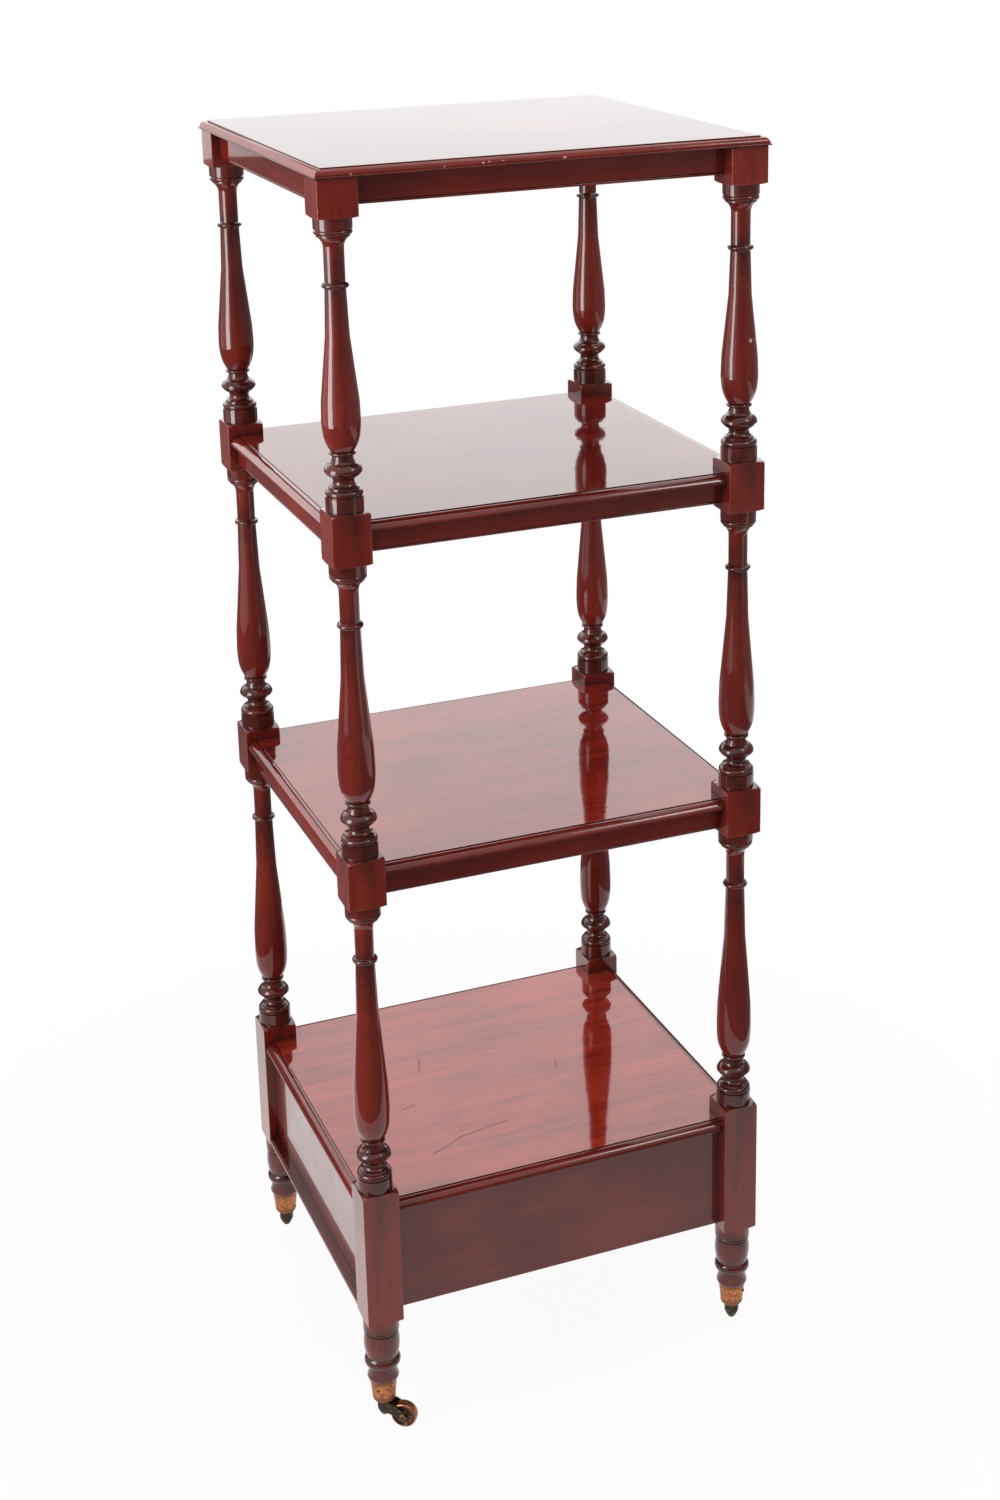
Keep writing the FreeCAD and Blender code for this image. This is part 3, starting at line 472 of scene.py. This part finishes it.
def arc(start, end, bulge):
    """The points of an arc after its start. A positive bulge lies left of the way."""
    way = Vector(end) - Vector(start)
    if not bulge:
        return [tuple(end)]
    half_turn = 2.0 * math.atan(2.0 * bulge / way.length)
    radius = way.length / (2.0 * math.sin(half_turn))
    middle = (Vector(start) + Vector(end)) / 2.0
    left = Vector((-way.y, way.x)).normalized()
    steps = max(2, math.ceil(2.0 * abs(half_turn) / ARC_STEP))
    points = []
    for i in range(1, steps + 1):
        angle = half_turn * (2.0 * i / steps - 1.0)
        points.append(tuple(middle + left * radius * (math.cos(angle) - math.cos(half_turn))
                            + way.normalized() * radius * math.sin(angle)))
    return points


def upright_arc(start, end, side):
    """An arc that is upright at one end. Side 1 bulges left of the way, -1 right."""
    run, rise = abs(end[0] - start[0]), abs(end[1] - start[1])
    lean = math.atan2(run, rise)
    return arc(start, end, side * math.hypot(run, rise) / 2.0 * math.tan(lean / 2))


def draw_chain(points):
    """A chain of edges, extruded from point to point and left selected in edit mode."""
    bpy.ops.mesh.primitive_plane_add(size=0.001, location=points[0])
    piece = bpy.context.object
    bpy.ops.object.mode_set(mode="EDIT")
    bpy.ops.mesh.select_all(action="SELECT")
    bpy.ops.mesh.merge(type="CENTER")
    for before, after in zip(points, points[1:]):
        bpy.ops.mesh.extrude_region_move(
            TRANSFORM_OT_translate={"value": Vector(after) - Vector(before)})
    bpy.ops.mesh.select_all(action="SELECT")
    return piece


def draw_face(points):
    """A face inside a closed flat outline, left in edit mode."""
    piece = draw_chain(points)
    bpy.ops.mesh.edge_face_add()
    return piece


def close_mesh():
    """Merges doubles, points the faces outwards and leaves edit mode."""
    bpy.ops.mesh.select_all(action="SELECT")
    bpy.ops.mesh.remove_doubles(threshold=SAME)
    bpy.ops.mesh.normals_make_consistent(inside=False)
    bpy.ops.object.mode_set(mode="OBJECT")
    bpy.ops.object.transform_apply()


def turn(outline, segments):
    """Spins an outline of (radius, height) about the upright axis."""
    piece = draw_chain([(radius, 0.0, height) for radius, height in outline])
    bpy.ops.mesh.spin(steps=segments, angle=2.0 * math.pi, center=(0.0, 0.0, 0.0),
                      axis=(0.0, 0.0, 1.0))
    close_mesh()
    return piece


def prism(points, way):
    """A closed flat outline pushed out along a vector."""
    piece = draw_face(points)
    bpy.ops.mesh.extrude_region_move(TRANSFORM_OT_translate={"value": way})
    close_mesh()
    return piece


def block_shape(low, high, arris=0.0):
    """A square-edged bar between two corners, its upright edges softened."""
    low, high = Vector(low), Vector(high)
    bpy.ops.mesh.primitive_cube_add(size=1.0, location=(low + high) / 2.0, scale=high - low)
    bpy.ops.object.transform_apply()
    piece = bpy.context.object
    if arris:
        for edge in piece.data.edges:
            first, second = (piece.data.vertices[v].co for v in edge.vertices)
            edge.select = (first - second).xy.length < SAME
        bpy.ops.object.mode_set(mode="EDIT")
        bpy.ops.mesh.select_mode(type="EDGE")
        bpy.ops.mesh.bevel(offset=arris, segments=3, affect="EDGES")
        bpy.ops.mesh.select_mode(type="VERT")
        bpy.ops.object.mode_set(mode="OBJECT")
    return piece


def modify(piece, kind, **settings):
    """Adds a modifier with its settings and applies it."""
    pick(piece)
    bpy.ops.object.modifier_add(type=kind)
    modifier = piece.modifiers[-1]
    for key, value in settings.items():
        setattr(modifier, key, value)
    bpy.ops.object.modifier_apply(modifier=modifier.name)


def combine(piece, tool, operation):
    """Applies a boolean with a tool object and removes the tool."""
    modify(piece, "BOOLEAN", operation=operation, solver="EXACT", object=tool)
    bpy.data.objects.remove(tool)


def soften(piece, width):
    """Rounds a piece's sharp edges a little."""
    modify(piece, "BEVEL", width=width, segments=2, limit_method="ANGLE",
           angle_limit=math.radians(50.0))


def cover(piece, material):
    """Gives a piece one material in place of those it has."""
    piece.data.materials.clear()
    piece.data.materials.append(material)


def finish_piece(piece, name, material, node):
    """Smooths and names a piece, gives it its material and sets it in place of a CAD node."""
    pick(piece)
    bpy.ops.object.shade_smooth_by_angle(angle=math.radians(32.0))
    modify(piece, "WEIGHTED_NORMAL", keep_sharp=True)
    piece.name = name
    piece.data.name = name
    cover(piece, material)
    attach(piece, "carcase")
    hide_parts(node)


def mark_shade_and_age(piece, share_at):
    """Stores how far the wood is painted darker at each vertex, a painted shade with ageing, for
    its finish to read.
    """
    layer = piece.data.attributes.new("shade_and_age", "FLOAT", "POINT")
    for vertex, item in zip(piece.data.vertices, layer.data):
        item.value = share_at(vertex.co)


def copied(piece, x, y):
    """A copy of a piece with its own mesh, moved over the floor."""
    pick(piece)
    bpy.ops.object.duplicate(linked=False)
    bpy.ops.transform.translate(value=(x, y, 0.0))
    bpy.ops.object.transform_apply()
    return bpy.context.object


def centre(node):
    """The middle of a CAD node's box."""
    low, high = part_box(node)
    return (low + high) / 2.0


def dress(material, *nodes):
    """Gives CAD nodes their finish."""
    for node in nodes:
        cover(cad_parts[node], material)


# ---- uprights ----
def extend(outline, profile, level, way):
    """Adds a profile to an outline, its distances measured from a level. Way is 1 for up."""
    for radius, distance, bulge in profile:
        outline += arc(outline[-1], (radius, level + way * distance), bulge)


def add_bay(outline, top, bottom, sizes):
    """One turned bay, from the block above it down to the block below it."""
    extend(outline, HEAD_PROFILE, top, -1.0)
    throat, flare_top = outline[-1]
    belly_end = bottom + ORNAMENT_PROFILE[0][1]
    fullest = belly_end + sizes.belly_share * (flare_top - belly_end)
    middle = flare_top - sizes.flare_share * (flare_top - fullest)
    middle_radius = throat + sizes.flare_share * (sizes.belly_radius - throat)
    turn_radius = sizes.belly_radius - sizes.low_turn_drop
    outline += upright_arc(outline[-1], (middle_radius, middle), -1)
    outline += upright_arc(outline[-1], (sizes.belly_radius, fullest), 1)
    outline += upright_arc(outline[-1], (turn_radius, belly_end + sizes.low_turn_height), 1)
    extend(outline, ORNAMENT_PROFILE, bottom, 1.0)


def add_block(outline, top, bottom, sizes, high_cut):
    """The stretch that the lathe leaves square but for its corners."""
    corner = sizes.block / math.sqrt(2.0) + PAST
    shoulder = sizes.block / 2.0 - 0.0004
    outline += arc(outline[-1], (shoulder, top), 0)
    outline += arc(outline[-1], (corner, top - high_cut), high_cut / 4.0)
    outline += arc(outline[-1], (corner, bottom + sizes.pommel_low), 0)
    outline += arc(outline[-1], (shoulder, bottom), sizes.pommel_low / 4.0)


def bay_ends(sizes):
    """The levels between blocks and bays, from the base block's top upwards."""
    levels = [sizes.foot_height + sizes.base_block]
    for part in (sizes.lower_bay, sizes.middle_block, sizes.middle_bay, sizes.upper_block,
                 sizes.upper_bay):
        levels.append(levels[-1] + part)
    return levels


def foot_scale(sizes):
    """The length of the foot over the cup, as a share of its profile's."""
    return (sizes.foot_height - sizes.cup_rim) / FOOT_PROFILE[-1][1]


def upright_outline(sizes):
    """The outline of an upright, from its top down to the end of its tenon in the cup."""
    base_top, middle_low, middle_top, upper_low, upper_top, top_low = bay_ends(sizes)
    outline = [(0.0, TOP_UNDERSIDE)]
    add_block(outline, TOP_UNDERSIDE, top_low, sizes, 0.0)
    add_bay(outline, top_low, upper_top, sizes)
    add_block(outline, upper_top, upper_low, sizes, sizes.pommel_high)
    add_bay(outline, upper_low, middle_top, sizes)
    add_block(outline, middle_top, middle_low, sizes, sizes.pommel_high)
    add_bay(outline, middle_low, base_top, sizes)
    add_block(outline, base_top, sizes.foot_height, sizes, sizes.pommel_high)
    extend(outline, FOOT_PROFILE, sizes.foot_height, -foot_scale(sizes))
    foot_end = FOOT_PROFILE[-1][0]
    cup_wall, tenon_end = 0.0018, sizes.cup_rim - 0.015
    outline += [(foot_end - cup_wall, sizes.cup_rim), (foot_end - 2.0 * cup_wall, tenon_end),
                (0.0, tenon_end)]
    return outline


def turning_shade_and_age(sizes):
    """How far the turning is painted darker at a place, by its bands: painted shade with ageing.
    """
    levels = bay_ends(sizes)
    bands = []
    for bottom, top in zip(levels[0::2], levels[1::2]):
        bands.append((bottom, top, BAY_SHARE))
        bands += [(top - low, top - high, amount) for high, low, amount in HEAD_BANDS]
        low, high, amount = ORNAMENT_BAND
        bands.append((bottom + low, bottom + high, amount))
    scale = foot_scale(sizes)
    bands += [(sizes.foot_height - scale * low, sizes.foot_height - scale * high, amount)
              for high, low, amount in FOOT_BANDS]

    def share_at(place):
        return max((amount for low, high, amount in bands if low <= place.z <= high),
                   default=0.0)
    return share_at


class ETAGERE_OT_uprights(bpy.types.Operator):
    """Turns the four uprights"""
    bl_idname = "etagere.uprights"
    bl_label = "Turn Uprights"

    def execute(self, context):
        settings = context.scene.etagere
        sizes = settings.turning
        half = sizes.block / 2.0
        bar_end = sizes.cup_rim - 0.02
        wood = mahogany("mahogany_upright", 2, settings.finish, warmth=0.05, haze=0.03,
                        figure=0.5, shade_and_age=0.92, ripple=0.01, smear=0.015, chips=POST_CHIPS)
        model = block_shape((-half, -half, bar_end), (half, half, TOP_UNDERSIDE), sizes.arris)
        combine(model, turn(upright_outline(sizes), sizes.segments), "INTERSECT")
        # bands of painted shade with ageing over the turned mouldings
        mark_shade_and_age(model, turning_shade_and_age(sizes))
        for corner in CORNERS:
            node = "upright_" + corner
            low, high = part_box(node)
            piece = copied(model, (low.x + high.x) / 2.0, (low.y + high.y) / 2.0)
            finish_piece(piece, "turned_" + node, wood, node)
        bpy.data.objects.remove(model)
        return {"FINISHED"}


# ---- boards ----
def quirk_shade_and_dust(low, high, moulding):
    """Painted shade with dust at the foot of the little step all round a board, and a painted
    shadow line along its lowest edge.
    """
    edge_top, moulding_low = low.z + 0.0012, low.z + 0.004
    margin = 0.0006  # keeps the surface and the open moulding clear

    def share_at(place):
        if place.z < edge_top:
            return 0.85
        set_in = min(high.x - abs(place.x), high.y - abs(place.y))
        sunk = moulding_low < place.z < high.z - margin
        return 0.7 if sunk and set_in > moulding - margin else 0.0
    return share_at


def finish_edge(piece, wood):
    """Gives the moulded edge of a board its own wood."""
    piece.data.materials.append(wood)
    surface = max(vertex.co.z for vertex in piece.data.vertices)
    for face in piece.data.polygons:
        if face.center.z < surface - 0.0003 and face.normal.z > -0.9:
            face.material_index = 1


def edge_points(edge):
    """(set in, height) along a moulded edge, from the underside up."""
    points = [edge[0][:2]]
    for set_in, height, bulge in edge[1:]:
        # set in grows inwards, so a swell lies left of the way here
        points += arc(points[-1], (set_in, height), bulge)
    return points


def board_shape(low, high, edge):
    """A board raised from its underside, ring by ring, with mitred mouldings."""
    size = high - low
    points = edge_points(edge)
    bpy.ops.mesh.primitive_plane_add(size=1.0, location=(0.0, 0.0, low.z + points[0][1]))
    piece = bpy.context.object
    piece.scale = (size.x - 2.0 * points[0][0], size.y - 2.0 * points[0][0], 1.0)
    bpy.ops.object.transform_apply()
    bpy.ops.object.mode_set(mode="EDIT")
    bpy.ops.mesh.select_all(action="SELECT")
    for (before, start), (after, end) in zip(points, points[1:]):
        factors = [(side - 2.0 * after) / (side - 2.0 * before) for side in size.xy]
        bpy.ops.mesh.extrude_region_move(
            TRANSFORM_OT_translate={"value": (0.0, 0.0, end - start)})
        bpy.ops.transform.resize(value=(*factors, 1.0), center_override=(0.0, 0.0, 0.0))
    close_mesh()
    return piece


def cut_notches(shelf, low, high, reach):
    """Cuts a shelf's corners out round the four uprights."""
    above = 0.01  # how far the tools stand past both surfaces
    for corner in CORNERS:
        middle = centre("upright_" + corner)
        tool = block_shape((middle.x - reach, middle.y - reach, low.z - above),
                           (middle.x + reach, middle.y + reach, high.z + above))
        combine(shelf, tool, "DIFFERENCE")


class ETAGERE_OT_boards(bpy.types.Operator):
    """Makes the moulded top and the three shelves"""
    bl_idname = "etagere.boards"
    bl_label = "Make Boards"

    def execute(self, context):
        settings = context.scene.etagere
        sizes = settings.boards
        low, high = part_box("top_board")
        thick = high.z - low.z
        moulding_top = thick - sizes.step
        bead, bead_swell, quirk, lip = 0.0016, 0.0006, 0.0014, 0.0018
        ovolo = ((bead_swell, 0.0, 0), (bead_swell, bead, bead_swell), (quirk, bead, 0),
                 (sizes.top_moulding, moulding_top, sizes.swell),
                 (sizes.top_moulding, thick, 0))
        thumb = ((0.0, 0.0, 0), (0.0, lip, 0),
                 (sizes.shelf_moulding, moulding_top, sizes.swell),
                 (sizes.shelf_moulding, thick, 0))
        top = board_shape(low, high, ovolo)
        soften(top, sizes.board_arris)
        # painted shade lines at the step and under the moulded edge
        mark_shade_and_age(top, quirk_shade_and_dust(low, high, sizes.top_moulding))
        # the top is darker and less red than the shelves, partly its own wood and partly a painted
        # shade for its pale glancing reflection
        wood = mahogany("mahogany_top", 0, settings.finish, warmth=-0.16, haze=0.0,
                        polish=0.72, figure=0.5, ripple=0.03, smear=0.03)
        top_edge = mahogany("mahogany_top_edge", 0, settings.finish, warmth=0.09, haze=0.0,
                            polish=0.6, shade_and_age=0.5, wear_and_highlight=0.25, chips=EDGE_CHIPS)
        shelf_edge = mahogany("mahogany_shelf_edge", 0, settings.finish, haze=0.02, shade_and_age=0.5,
                              wear_and_highlight=0.25)
        finish_piece(top, "moulded_top", wood, "top_board")
        finish_edge(top, top_edge)
        # higher shelves darker and less red, partly their own wood and partly a painted shade for
        # their glancing view
        for node, warmth, lustre, gloss, figure, scratches in (
                ("upper_shelf", 0.0, 0.0, 1.5, 0.5, ()),
                ("middle_shelf", 0.04, 0.14, 1.6, 0.85, ()),
                ("base_shelf", 0.09, 0.25, 1.62, 1.0, SCRATCHES)):
            wood = mahogany("mahogany_" + node, 0, settings.finish, warmth=warmth,
                            lustre=lustre, haze=0.0, gloss=gloss, figure=figure, ripple=0.03,
                            smear=0.05, scratches=scratches)
            low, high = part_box(node)
            shelf = board_shape(low, high, thumb)
            cut_notches(shelf, low, high, settings.turning.block / 2.0 + sizes.notch_gap)
            soften(shelf, sizes.board_arris)
            mark_shade_and_age(shelf, quirk_shade_and_dust(low, high, sizes.shelf_moulding))
            finish_piece(shelf, "moulded_" + node, wood, node)
            finish_edge(shelf, shelf_edge)
        return {"FINISHED"}


# ---- rails ----
def rail_between(node, side, section_of, block):
    """A rail or panel on one side, from block to block. Its section, a list of (depth behind
    its outer face, height above its underside), comes from its thickness and height."""
    low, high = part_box(node)
    along, sign = SIDES[side]
    facing = 1 - along
    reach = centre("upright_back_right")[along] - block / 2.0 + PAST
    outer = (low, high)[sign > 0][facing]
    points = []
    for depth, height in section_of(high[facing] - low[facing], high.z - low.z):
        point = Vector((0.0, 0.0, low.z + height))
        point[along] = -reach
        point[facing] = outer - sign * depth
        points.append(point)
    way = Vector((0.0, 0.0, 0.0))
    way[along] = 2.0 * reach
    return prism(points, way)


def beaded_section(thick, height, bead):
    """The section of a rail with a bead and a quirk along its lower edge."""
    face, swell, quirk = 0.0005, 0.0008, 0.0014
    section = [(thick, height), (thick, 0.0), (bead, 0.0)]
    section += arc((bead, 0.0), (face, bead), swell)
    return section + [(quirk, bead + 0.0004), (0.0, bead + 0.0011), (0.0, height)]


def plain_section(thick, height):
    return [(0.0, 0.0), (0.0, height), (thick, height), (thick, 0.0)]


def nosed_section(thick, height):
    """The section of a low rail with its outer edges rounded over."""
    nose, swell = 0.0024, 0.0007
    section = [(thick, height), (thick, 0.0), (nose, 0.0)]
    section += arc((nose, 0.0), (0.0, nose), swell)
    section.append((0.0, height - nose))
    return section + arc((0.0, height - nose), (nose, height), swell)


class ETAGERE_OT_rails(bpy.types.Operator):
    """Makes the beaded rails under the top and the shelves"""
    bl_idname = "etagere.rails"
    bl_label = "Make Rails"

    def execute(self, context):
        settings = context.scene.etagere
        sizes = settings.boards
        woods = [mahogany(f"mahogany_{kind}_rail", axis, settings.finish, haze=haze, shade_and_age=0.5,
                          wear_and_highlight=0.4, figure=0.35, ripple=0.006)
                 for axis, kind, haze in ((0, "long", 0.04), (1, "short", 0.0))]

        def section_of(thick, height):
            return beaded_section(thick, height, sizes.rail_bead)

        for level in ("top", "upper", "middle"):
            for side, (along, _) in SIDES.items():
                node = f"{level}_rail_{side}"
                rail = rail_between(node, side, section_of, settings.turning.block)
                soften(rail, sizes.rail_arris)
                finish_piece(rail, "beaded_" + node, woods[along], node)
        return {"FINISHED"}


class ETAGERE_OT_base(bpy.types.Operator):
    """Dresses the base: panels, low rails, drawer and hidden fittings"""
    bl_idname = "etagere.base"
    bl_label = "Dress Base"

    def execute(self, context):
        settings = context.scene.etagere
        finish, block = settings.finish, settings.turning.block
        long_wood = mahogany("mahogany_long_panel", 0, finish, warmth=-0.04, figure=0.4,
                             wear_and_highlight=0.4)
        short_wood = mahogany("mahogany_short_panel", 1, finish, warmth=-0.02, haze=0.4,
                              figure=0.4)
        for node, side, wood in (("front_panel", "front", long_wood),
                                 ("back_panel", "back", long_wood),
                                 ("end_panel", "right", short_wood)):
            panel = rail_between(node, side, plain_section, block)
            soften(panel, settings.boards.rail_arris)
            finish_piece(panel, "flush_" + node, wood, node)
        low_wood = mahogany("mahogany_low_rail", 1, finish, warmth=-0.12, haze=0.0,
                            polish=0.8, shade_and_age=0.5)
        for node, side in (("drawer_rail", "left"), ("end_rail", "right")):
            rail = rail_between(node, side, nosed_section, block)
            finish_piece(rail, "nosed_" + node, low_wood, node)
        dress(short_wood, "drawer_front")
        dress(raw_wood("lining_along_x", 0, finish), "drawer_side_front", "drawer_side_back",
              "drawer_runners", "drawer_guides", "drawer_kickers", "drawer_stops",
              "top_glue_blocks", "upper_glue_blocks", "middle_glue_blocks")
        dress(raw_wood("lining_along_y", 1, finish), "drawer_back", "drawer_bottom")
        return {"FINISHED"}


# ---- castors ----
class ETAGERE_OT_castors(bpy.types.Operator):
    """Gives the brass castors their worn metal"""
    bl_idname = "etagere.castors"
    bl_label = "Dress Castors"

    def execute(self, context):
        finish = context.scene.etagere.finish
        low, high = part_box("castor_cup_front_left")
        rims = (low.z + 0.010, high.z - 0.004)
        cup = old_metal("rubbed_copper_cup", finish.copper, finish.rose, finish.bronze, finish,
                        0.13, rims=rims)
        dark = old_metal("dark_horn", finish.gold, finish.gold, finish.patina, finish, -0.08)
        for corner in CORNERS:
            wheel = "castor_wheel_" + corner
            brass = old_metal("brass_wheel_" + corner, finish.rose, finish.bronze,
                              finish.patina, finish, 0.0, tuple(centre(wheel)))
            dress(cup, "castor_cup_" + corner)
            dress(dark, "castor_horn_" + corner, "castor_pin_" + corner,
                  "castor_axle_" + corner)
            dress(brass, wheel)
        dress(dark, "castor_screws")
        return {"FINISHED"}


# ---- studio ----
def add_lamp(name, watts, size, place, target, mirrored=True):
    """A soft rectangular lamp that faces a point and isn't seen by the camera."""
    bpy.ops.object.light_add(type="AREA", location=place)
    lamp = bpy.context.object
    lamp.name = name
    lamp.data.shape = "RECTANGLE"
    lamp.data.size, lamp.data.size_y = size
    lamp.data.energy = watts
    lamp.rotation_euler = (Vector(target) - Vector(place)).to_track_quat("-Z", "Y").to_euler()
    lamp.visible_camera = False
    lamp.visible_glossy = mirrored


def background_rays(tree):
    """1 for what the camera, polish, metal and glass see, 0 for what lights the object."""
    rays = add(tree, "LightPath")
    seen = larger(tree, rays.outputs["Is Camera Ray"], rays.outputs["Is Glossy Ray"])
    return larger(tree, seen, rays.outputs["Is Transmission Ray"])


def floor_material(studio):
    """A pale floor that keeps a faint shadow and fades into the white background."""
    material, tree = empty_nodes(bpy.data.materials, "pale_floor")
    place = add(tree, "TexCoord").outputs["Object"]
    grain = span(tree, noise(tree, place, 3.0, 2.0), 0.3, 0.7, 0.97, 1.0)
    paper_tone = blend(tree, 1.0, tuple(studio.floor_colour), grain, "MULTIPLY")
    paper = add(tree, "BsdfDiffuse", {"Color": paper_tone})
    white = add(tree, "Emission", {"Color": WHITE, "Strength": 1.0})
    away = add(tree, "VectorMath", {0: place}, operation="LENGTH").outputs["Value"]
    fade_start, fade_end = 0.3, FLOOR_RADIUS * 0.95
    whiteness = span(tree, away, fade_start, fade_end, studio.floor_white, 1.0)
    mix = add(tree, "MixShader", {0: times(tree, background_rays(tree), whiteness),
                                  1: paper.outputs[0], 2: white.outputs[0]})
    add(tree, "OutputMaterial", {"Surface": mix.outputs[0]})
    return material


def card_material(name, brightness, ends):
    """A dim card that grows brighter towards both ends of the room."""
    material, tree = empty_nodes(bpy.data.materials, name)
    along = add(tree, "SeparateXYZ", {0: add(tree, "TexCoord").outputs["Object"]}).outputs[0]
    away = add(tree, "Math", {0: maths(tree, "ADD", along, 0.2)}, operation="ABSOLUTE")
    level = span(tree, away.outputs[0], 0.7, 2.8, brightness, ends)
    dim = add(tree, "Emission", {"Color": (1.0, 0.97, 0.95, 1.0), "Strength": level})
    add(tree, "OutputMaterial", {"Surface": dim.outputs[0]})
    return material


def add_card(name, low, high, material):
    """A flat card between two corners that only the polish and the metal mirror."""
    first, second = (i for i in range(3) if high[i] > low[i])
    corners = [Vector(low) for _ in range(4)]
    corners[1][first] = corners[2][first] = high[first]
    corners[2][second] = corners[3][second] = high[second]
    card = draw_face(corners)
    close_mesh()
    card.name = name
    card.data.materials.append(material)
    card.visible_camera = card.visible_diffuse = card.visible_shadow = False


def light_room(fill):
    """A white background, and an even light of the room on the object."""
    world, tree = empty_nodes(bpy.data.worlds, "studio_room")
    level = span(tree, background_rays(tree), 0.0, 1.0, fill, 1.0)
    sky = add(tree, "Background", {"Color": WHITE, "Strength": level})
    add(tree, "OutputWorld", {"Surface": sky.outputs[0]})
    bpy.context.scene.world = world


def add_camera():
    """A camera at standing height, left of the front and looking down, its film shifted."""
    yaw, pitch, roll = math.radians(21.662), math.radians(16.906), math.radians(-1.147)
    place = Vector((-0.8453, -2.2600, 1.7218))
    frame_width, frame_height, focal_pixels = 1000.0, 1500.0, 2254.3
    centre_u, centre_v = 525.3, 515.5
    film = 36.0
    bpy.ops.object.camera_add(location=place)
    camera = bpy.context.object
    camera.name = "camera"
    turned = (Matrix.Rotation(-yaw, 3, "Z") @ Matrix.Rotation(math.pi / 2.0 - pitch, 3, "X")
              @ Matrix.Rotation(roll, 3, "Z"))
    camera.rotation_euler = turned.to_euler()
    camera.data.sensor_width = film
    camera.data.lens = film * focal_pixels / frame_height
    camera.data.shift_x = (frame_width / 2.0 - centre_u) / frame_height
    camera.data.shift_y = (centre_v - frame_height / 2.0) / frame_height
    bpy.context.scene.camera = camera


class ETAGERE_OT_studio(bpy.types.Operator):
    """Sets up the floor, the soft studio light and the camera"""
    bl_idname = "etagere.studio"
    bl_label = "Set Up Studio"

    def execute(self, context):
        studio = context.scene.etagere.studio
        context.scene.view_settings.view_transform = "Standard"
        add_camera()
        bpy.ops.mesh.primitive_circle_add(vertices=96, radius=FLOOR_RADIUS, fill_type="NGON",
                                          location=(0.0, 0.15, 0.0))
        floor = bpy.context.object
        floor.name = "studio_floor"
        floor.data.materials.append(floor_material(studio))
        dim = card_material("dim_card", studio.card, studio.card)
        graded = card_material("graded_card", studio.card, studio.card_ends)
        side = card_material("side_card", studio.side_card, studio.side_card)
        left, right, front, back, under, over = -3.6, 2.6, -3.2, 1.85, -0.02, 2.6
        add_card("card_under", (left, front, under), (1.5, 3.2, under), dim)
        add_card("card_front", (left, front, under), (right, front, over), graded)
        add_card("card_right", (right, front, under), (right, back, over), side)
        add_card("card_behind", (-2.0, back, under), (3.0, back, 1.15), dim)
        add_lamp("wall_of_light", studio.back_wall, (3.8, 1.4), (0.3, 1.9, 1.9), (0.3, 0.0, 1.7))
        add_lamp("left_softbox", studio.left_box, (0.8, 1.3), (-1.7, -0.42, 1.27),
                 (0.0, 0.0, 1.2))
        add_lamp("overhead", studio.overhead, (1.8, 1.6), (0.1, 0.3, 2.9), (0.0, 0.0, 1.4))
        add_lamp("high_softbox", studio.high_box, (0.4, 0.4), (1.0, -1.1, 2.4), (0.0, 0.0, 1.0))
        add_lamp("right_softbox", studio.right_box, (1.7, 1.7), (2.3, -0.5, 1.3),
                 (0.0, 0.0, 1.0), mirrored=False)
        light_room(studio.fill)
        return {"FINISHED"}


# ---- sidebar ----
class ETAGERE_PT_sidebar(bpy.types.Panel):
    """Lists the makers and the settings"""
    bl_idname = "ETAGERE_PT_sidebar"
    bl_label = "Etagere"
    bl_space_type = "VIEW_3D"
    bl_region_type = "UI"
    bl_category = "Etagere"

    def draw(self, context):
        for maker in MAKERS:
            self.layout.operator(maker.bl_idname)
        settings = context.scene.etagere
        for part in (settings.turning, settings.boards, settings.finish, settings.studio):
            box = self.layout.box()
            for name in part.__annotations__:
                box.prop(part, name)


MAKERS = (ETAGERE_OT_studio, ETAGERE_OT_uprights, ETAGERE_OT_boards, ETAGERE_OT_rails,
          ETAGERE_OT_base, ETAGERE_OT_castors)
CLASSES = (EtagereTurning, EtagereBoards, EtagereFinish, EtagereStudio, EtagereSettings,
           *MAKERS, ETAGERE_PT_sidebar)


def register():
    for item in CLASSES:
        bpy.utils.register_class(item)
    bpy.types.Scene.etagere = group("Etagere", "Settings of the etagere", EtagereSettings)


def unregister():
    del bpy.types.Scene.etagere
    for item in reversed(CLASSES):
        bpy.utils.unregister_class(item)


def main():
    register()
    bpy.ops.etagere.studio()
    bpy.ops.etagere.uprights()
    bpy.ops.etagere.boards()
    bpy.ops.etagere.rails()
    bpy.ops.etagere.base()
    bpy.ops.etagere.castors()


if __name__ == "__main__":
    main()
